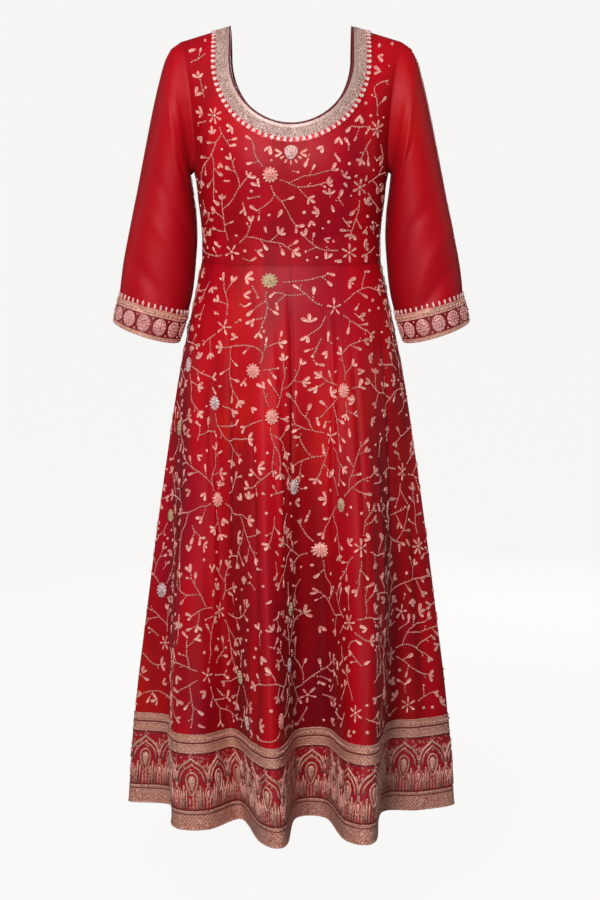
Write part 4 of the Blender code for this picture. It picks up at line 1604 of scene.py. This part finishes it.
def neckBandGrid(side):
    share = np.linspace(-1, 1, 2 * neckTrim["columns"] + 1)[None, :]
    across = np.linspace(0, 1, neckTrim["rows"] + 1)[:, None]
    neck, edge = neckLine(side, np.abs(share))
    sign = np.sign(share) * (1 if side == "front" else -1)
    x, z = mix(neck[0], edge[0], across) * sign, mix(neck[1], edge[1], across)
    return bodicePoint(side, angleAt(x, z), z)


def addNeckBands(beadwork, beadTone, dropTone):
    grids = {side: neckBandGrid(side) for side in ("front", "back")}
    surfaces = {side: surfaceOf([grid], axisAt) for side, grid in grids.items()}
    shareNormals(list(surfaces.values()))
    bead, drop = shapeFrom("neckBead", buildBead), shapeFrom("neckDrop", buildLeaf)
    made = {}
    for side, surface in surfaces.items():
        normals = surface["normals"][surface["indexes"][0]]
        region, places = gridRegion(grids[side], normals)
        item = surfaceOf([grids[side]], axisAt, [places])
        item["normals"] = surface["normals"]
        band = addWall("neckBand_" + side, item, layers["trim"], beadwork)
        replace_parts(band, "neck_band_" + side)
        rows = []
        for v, pitch, long, wide, high in neckTrim["beadRows"]:
            rows += rowOf(0.001, region["round"] - 0.001, v, pitch, (wide, long, high))
        beads = laidOut("neckBeads_" + side, region, rows, bead, beadTone, onTrim)
        dropFrom, dropPitch = neckTrim["dropFrom"], neckTrim["dropPitch"]
        rows = rowOf(0.002, region["round"] - 0.002, dropFrom, dropPitch, neckTrim["drop"], 0.0)
        drops = laidOut("neckDrops_" + side, region, rows, drop, dropTone, onTrim)
        made[side] = (grids[side], normals)
    return made


def addPiping(bands, material):
    loop = []
    for grid, normals in bands.values():
        inward = unit(grid[0] - grid[1])
        centres = grid[0] + inward * (piping["radius"] + piping["gap"]) + normals[0] * piping["rise"]
        loop += list(centres[:-1])
    curve = bpy.data.curves.new("neckPiping", "CURVE")
    curve.dimensions = "3D"
    spline = curve.splines.new("POLY")
    spline.points.add(len(loop) - 1)
    for point, place in zip(spline.points, loop):
        point.co = (*place, 1)
    spline.use_cyclic_u = True
    curve.bevel_depth = piping["radius"]
    curve.bevel_resolution = 3
    mesh = frozen(linked("pipingLine", curve))
    mesh.shade_smooth()
    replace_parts(addPiece("neckPiping", mesh, material), "neck_piping")


def motifOutline(count):
    # a rounded triangle, wide above and narrow below
    outline = []
    for i in range(count):
        angle = math.tau * i / count
        high = math.sin(angle)
        wide = motif["halfWide"] * math.cos(angle) * (0.80 + 0.22 * high)
        outline.append((wide, motif["halfHigh"] * high))
    return outline


def buildMotif(form):
    dome(form, motifOutline(28), motif["rise"], ((1.0, 0.0), (0.95, 0.5), (0.70, 0.85)))
    for share, height, count, size in motif["balls"]:
        for x, y in motifOutline(count):
            ball(form, (x * share, y * share, motif["rise"] * height), size)


def addMotif(region, heartTone, dropTone, motifZ):
    spot = (0.0, -motifZ, math.pi, 1.0, 1.0, 1.0)
    heart = laidOut("neckMotif", region, [spot], shapeFrom("motif", buildMotif), heartTone)
    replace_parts(heart, "neck_motif")
    drop, loop = shapeFrom("motifDrop", buildLeaf), shapeFrom("motifLoop", buildLoop)
    rows, (across, down) = [], motif["dropReach"]
    for step in range(-2, 3):
        angle = step * motif["dropTurn"]
        rows.append((across * math.sin(angle), -motifZ + down * math.cos(angle), angle, *motif["drop"]))
    drops = laidOut("motifDrops", region, rows, drop, dropTone)
    rows, (across, down) = [], motif["loopReach"]
    for sign in (-1, 1):
        for turn in (-motif["loopTurn"], motif["loopTurn"]):
            rows.append((sign * across, -motifZ + down, sign * (math.pi / 2 + turn), *motif["loop"]))
    loops = laidOut("motifLoops", region, rows, loop, dropTone)
    return [heart, drops, loops]


# The cuffs

cuffTrim = {
    "rowsAbove": 5,
    "topBand": 0.0104,
    "lowBand": 0.0362,
    "medallions": 13,
    "medallion": (0.0212, 0.0236, 0.020),
    "stitchPitch": 0.0090,
    "stitch": (0.0046, 0.0084, 0.0110),
    "dots": (0.0055, 0.0072, (0.0046, 0.0052, 0.0030)),  # distance down, pitch and size
    "corner": (0.0098, (0.0030, 0.0030, 0.0024)),  # distance from the medallions' middle, and size
    "weave": (0.0032, 0.0030),
    "figure": 0.0042,
    "beadRows": [  # distance below the cuff's top, pitch, length along, width, height
        (0.0010, 0.0030, 0.0029, 0.0018, 0.0019),
        (0.0098, 0.0030, 0.0029, 0.0018, 0.0017),
        (0.0368, 0.0030, 0.0029, 0.0016, 0.0017),
        (0.0398, 0.0030, 0.0029, 0.0018, 0.0016),
    ],
}


def buildMedallion(form):
    # a low cushion with two rings of petals and a raised middle
    dome(form, ovalOutline(0.5, 0.5, 24), 0.05, ((1.0, 0.0), (0.96, 0.8)))
    petals(form, 12, 0.39, ovalOutline(0.085, 0.10, 8), 0.085, 0.0)
    petals(form, 7, 0.20, ovalOutline(0.075, 0.09, 8), 0.095, 0.0)
    ball(form, (0, 0, 0.06), 0.17)


def addCuff(hand, sleeve, material, stitchTone, beadTone, flowerTone):
    rows = cuffRings * fine["ringRows"] + 1 + cuffTrim["rowsAbove"]
    grid, normals = (sleeve[field][sleeve["indexes"][0]][-rows:] for field in ("points", "normals"))
    if hand == "right":
        grid, normals = grid[:, ::-1], normals[:, ::-1]
    region, places = gridRegion(grid, normals, cuffTrim["rowsAbove"], True)
    cuff = grid[cuffTrim["rowsAbove"] :]
    surface = surfaceOf([cuff], sleeveAxis(cuff), [places[cuffTrim["rowsAbove"] :]])
    shareNormals([surface])
    band = addWall("cuffBand_" + hand, surface, layers["trim"], material)
    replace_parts(band, "cuff_band_" + hand)
    around = region["round"]
    bead = shapeFrom("cuffBead", buildBead)
    spots = []
    for v, pitch, long, wide, high in cuffTrim["beadRows"]:
        spots += rowOf(0, around, v, pitch, (wide, long, high))
    spots += rowOf(0, around, *cuffTrim["dots"])
    beads = laidOut("cuffBeads_" + hand, region, spots, bead, beadTone, onTrim)
    middle = (cuffTrim["topBand"] + cuffTrim["lowBand"]) / 2
    pitch = around / cuffTrim["medallions"]
    spots = rowOf(0, around, middle, pitch, cuffTrim["medallion"], math.pi)
    shape = shapeFrom("medallion", buildMedallion)
    flowers = laidOut("cuffMedallions_" + hand, region, spots, shape, flowerTone, onTrim)
    off, size = cuffTrim["corner"]
    spots = rowOf(0, around, middle - off, pitch, size, 0.0, 0.5)
    spots += rowOf(0, around, middle + off, pitch, size, 0.0, 0.5)
    corners = laidOut("cuffCorners_" + hand, region, spots, bead, beadTone, onTrim)
    spots = rowOf(0, around, 0.0006, cuffTrim["stitchPitch"], cuffTrim["stitch"], math.pi)
    stitch = shapeFrom("stitch", buildLeaf)
    stitches = laidOut("cuffStitches_" + hand, region, spots, stitch, stitchTone)


# The hem border

borderTrim = {
    "archesPerKali": 4,
    "pitch": 0.0517,
    "zone": (0.0312, 0.1190, 0.0006),  # top, bottom and half the width of its edge, as below
    "sprigZone": (0.031, 0.060, 0.005),
    "stripeZone": (0.088, 0.117, 0.008),
    "darkLines": [
        (0.0125, 0.0150, 0.0004),
        (0.0300, 0.0325, 0.0005),
        (0.1170, 0.1195, 0.0005),
        (0.1245, 0.1262, 0.0004),
    ],
    "lowLine": 0.1245,
    "fleck": 0.0042,
    "sprig": 0.0060,
    "weave": (0.0052, 0.0064),
    "apex": 0.0375,
    "shoulder": 0.0760,
    "foot": 0.1165,
    "drop": (0.0235, 0.0600, 0.0960),  # width, top and bottom
    "smallDrop": (0.0150, 0.0840, 0.1080),
    "lines": (0.0012, 0.0165, 0.0290, 0.1216, 0.1488),
    "lineWidth": 0.0024,
    "cord": (0.0050, 0.0018),
    "steps": 16,
    "inner": (0.0062, 0.0088),  # how far the inner arch lies inside, at the sides and at the point
    "posts": (0.0013, 0.0860),  # how far from the joint, and where they end
    "hangs": ((0.0085, 0.0880), (0.0125, 0.0800), (0.0165, 0.0900)),  # across, and where they begin
    "hangBend": 0.1000,
    "tip": ((0, 0.0315), (-0.003, 0.0350), (0.003, 0.0350)),
    "tipBall": 0.0026,
    "topBalls": (7, 0.0080, 0.0034),  # number, distance down, size
    "joint": 0.0635,  # where the small flower's middle is
    "jointRound": 0.0030,
    "sprout": (0.0560, 0.0100),  # where it starts, and its length
}


def archLine(half, inset, height):
    # an ogee from the left foot over the point to the right foot, measured down from the border's top
    apex, shoulder = borderTrim["apex"], borderTrim["shoulder"]
    line = []
    for i in range(borderTrim["steps"] + 1):
        across = i / borderTrim["steps"]
        rise = 0.84 * math.sqrt(1 - (1 - across) ** 2) + 0.16 * across**7
        line.append((-(half - inset) * (1 - across), -mix(shoulder, apex + height, rise)))
    return line + [(-x, y) for x, y in line[-2::-1]]


def dropLine(centre, width, top, bottom, count):
    # a drop with its point below
    return [(centre + x, -bottom + y) for x, y in leafOutline(width / 2, bottom - top, count)]


def buildArch(half):
    def build(form):
        width, rise = borderTrim["cord"]
        ribbon(form, archLine(half, 0.0, 0.0), width, rise)
        ribbon(form, archLine(half, *borderTrim["inner"]), width * 0.72, rise * 0.8)
        dropWide, top, bottom = borderTrim["drop"]
        ribbon(form, dropLine(0, dropWide, top, bottom, 20), width * 0.75, rise, True)
        core = dropLine(0, dropWide * 0.66, top + 0.0045, bottom - 0.007, 14)
        dome(form, core, 0.0014, ((1.0, 0.0), (0.9, 0.7)), (0, -(top + bottom) / 2 + 0.004))
        inset, postEnd = borderTrim["posts"]
        for side in (-1, 1):
            x = side * (half - inset)
            ribbon(form, [(x, -borderTrim["shoulder"]), (x, -postEnd)], width * 0.6, rise * 0.7)
            for off, begin in borderTrim["hangs"]:
                x = side * off
                line = [(x, -begin), (x * 1.02, -borderTrim["hangBend"]), (x, -borderTrim["foot"])]
                ribbon(form, line, width * 0.62, rise * 0.7)
        for x, y in borderTrim["tip"]:
            ball(form, (x, -y, 0.0008), borderTrim["tipBall"])
        for v in borderTrim["lines"]:
            line = [(mix(-half, half, i / 8), -v) for i in range(9)]
            ribbon(form, line, borderTrim["lineWidth"], rise * 0.8)
        count, down, size = borderTrim["topBalls"]
        for i in range(count):
            ball(form, (mix(-half, half, (i + 0.5) / count), -down, 0.0006), size)

    return build


def buildJoint(form):
    # what stands between two arches: a small flower over a drop
    middle, size = -borderTrim["joint"], borderTrim["jointRound"]
    for x, y in ovalOutline(size, size, 6, middle):
        ball(form, (x, y, 0.0008), 0.0028)
    ball(form, (0, middle, 0.0012), size)
    width, top, bottom = borderTrim["smallDrop"]
    ribbon(form, dropLine(0, width, top, bottom, 16), 0.0020, 0.0013, True)
    core = dropLine(0, width * 0.5, top + 0.004, bottom - 0.005, 10)
    dome(form, core, 0.0012, ((1.0, 0.0), (0.9, 0.7)), (0, -(top + bottom) / 2 + 0.003))
    begin, length = borderTrim["sprout"]
    for angle in (-0.7, 0.0, 0.7):
        start = (0.0020 * math.sin(angle), -begin)
        end = (0.0090 * math.sin(angle), -begin + length * math.cos(angle))
        ribbon(form, [start, end], 0.0018, 0.0011)


def kaliName(number):
    return f"skirt_kali_{number + 1:02d}"


def addBorder(skirt, normals, shares, region, finishes):
    first = fine["skirtRows"]
    kalis, arches = cut["kalis"], borderTrim["archesPerKali"]
    height = cut["waistZ"] - cut["hemZ"]
    u = np.linspace(0, kalis * arches, skirt.shape[1])[None, :]
    v = (shares[first:, None] - shares[first]) * height
    places = np.stack(np.broadcast_arrays(u, v), axis=-1)
    grid = skirt[first:]
    surface = surfaceOf([grid], axisAt, [places])
    surface["normals"] = np.zeros_like(surface["points"])
    surface["normals"][surface["indexes"][0]] = normals[first:]
    border = addWall("hemBorder", surface, layers["trim"], finishes[0])
    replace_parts(border, "hem_border")
    middle = (shares[first] + 1) / 2
    half = float(region["wide"](middle)) / arches / 2
    toMiddle = Matrix.Translation((0, cut["border"] / 2, 0))
    raised = (
        ("borderArches", 0.5, buildArch(half), finishes[1]),
        ("borderJoints", 0, buildJoint, finishes[2]),
    )
    for name, offset, build, finish in raised:
        shape = shapeFrom(name + "Shape", build)
        shape.data.transform(toMiddle)
        spots = [((i + offset) / arches, middle, math.pi, 1, 1, 1) for i in range(kalis * arches)]
        laidOut(name, region, spots, shape, finish, onTrim)


addCamera()
addLamps()
addSky()
addFloor(cut["hemZ"] - studio["floorDrop"])

crimson = georgetteMaterial("crimsonGeorgette", 1.0)
# the sleeves take a copy of the same red painted 0.88 as dark, as painted shade, with fewer colour patches
sleeveShadedRed = georgetteMaterial("sleeveGeorgette", 0.35, 0.88)
tones = ("pink", "green", "silver", "beige", "rose", "gold", "white", "neck")
metals = {tone: zariMaterial(tone + "Zari", tone) for tone in tones}
pink, white = metals["pink"], metals["white"]
finishes = [pink, metals["green"], metals["silver"]]
kalis = cut["kalis"]

cloth = {}
for side in ("front", "back"):
    lower, upper = halfBodice(side)
    parts = [lower, upper, mirrored(lower), mirrored(upper)]
    seams = [("top", "last"), ("bottom", "last")] * 2
    places = [shadePlaces(part, bodicePaintedShade(part), edges) for part, edges in zip(parts, seams)]
    cloth["bodice_" + side] = surfaceOf(parts, axisAt, places)
for hand in ("left", "right"):
    grid = sleeveGrid(hand)
    places = [shadePlaces(grid, sleevePaintedShade(grid), ("top", "first", "last"))]
    cloth["sleeve_" + hand] = surfaceOf([grid], sleeveAxis(grid), places)
skirt, shares, hemRound, paintedShade = skirtGrid()
for number in range(kalis):
    first = number * fine["kaliColumns"]
    columns = slice(first, first + fine["kaliColumns"] + 1)
    grid = skirt[:, columns]
    places = [shadePlaces(grid, paintedShade[:, columns], ("top", "first", "last"))]
    cloth[kaliName(number)] = surfaceOf([grid], axisAt, places)
shareNormals(list(cloth.values()))
walls = {}
for name, surface in cloth.items():
    material, slot = (sleeveShadedRed, "sleeve_georgette") if "sleeve" in name else (crimson, "crimson_georgette")
    walls[name] = addWall("cloth_" + name, surface, layers["cloth"], material)
    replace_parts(walls[name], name)
print("cloth made")

bands = addNeckBands(neckMaterial(), metals["neck"], white)
addPiping(bands, silkMaterial("pipingSilk", silk["piping"]))
cuffBrocade = cuffMaterial()
for hand in ("left", "right"):
    addCuff(hand, cloth["sleeve_" + hand], cuffBrocade, white, metals["beige"], metals["rose"])
strips = [cloth[kaliName(number)] for number in range(kalis)]
grids = [strip["normals"][strip["indexes"][0]] for strip in strips]
skirtNormals = np.concatenate([grid[:, :-1] for grid in grids] + [grids[-1][:, -1:]], axis=1)
region, top = skirtRegion(skirt, skirtNormals, shares, hemRound)
addBorder(skirt, skirtNormals, shares, region, (borderMaterial(), metals["gold"], pink))
print("trims made")

grown = Growth(region, ((0.0, kalis), (0.0, top)), vine["seed"], True).grow()
vines = {"skirt": addVines("skirtVine", region, grown, kalis, finishes)}
motifZ = neckLine("front", np.array(0.0))[1][1] - motif["below"] - motif["halfHigh"]
for side in ("front", "back"):
    region = bodiceRegion(side, motifZ, walls["bodice_" + side].data)
    if side == "front":
        hearts = addMotif(region, white, pink, motifZ)
    bounds = ((-patch["half"], patch["half"]), (patch["belowShoulder"], -cut["waistZ"]))
    grown = Growth(region, bounds, vine["seed"] + 1, False).grow()
    vines[side] = addVines(side + "Vine", region, grown, None, finishes)
print("vines made")

for name, surface in cloth.items():
    if "kali" in name:
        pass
    elif "bodice" in name:
        side = name.split("_")[1]
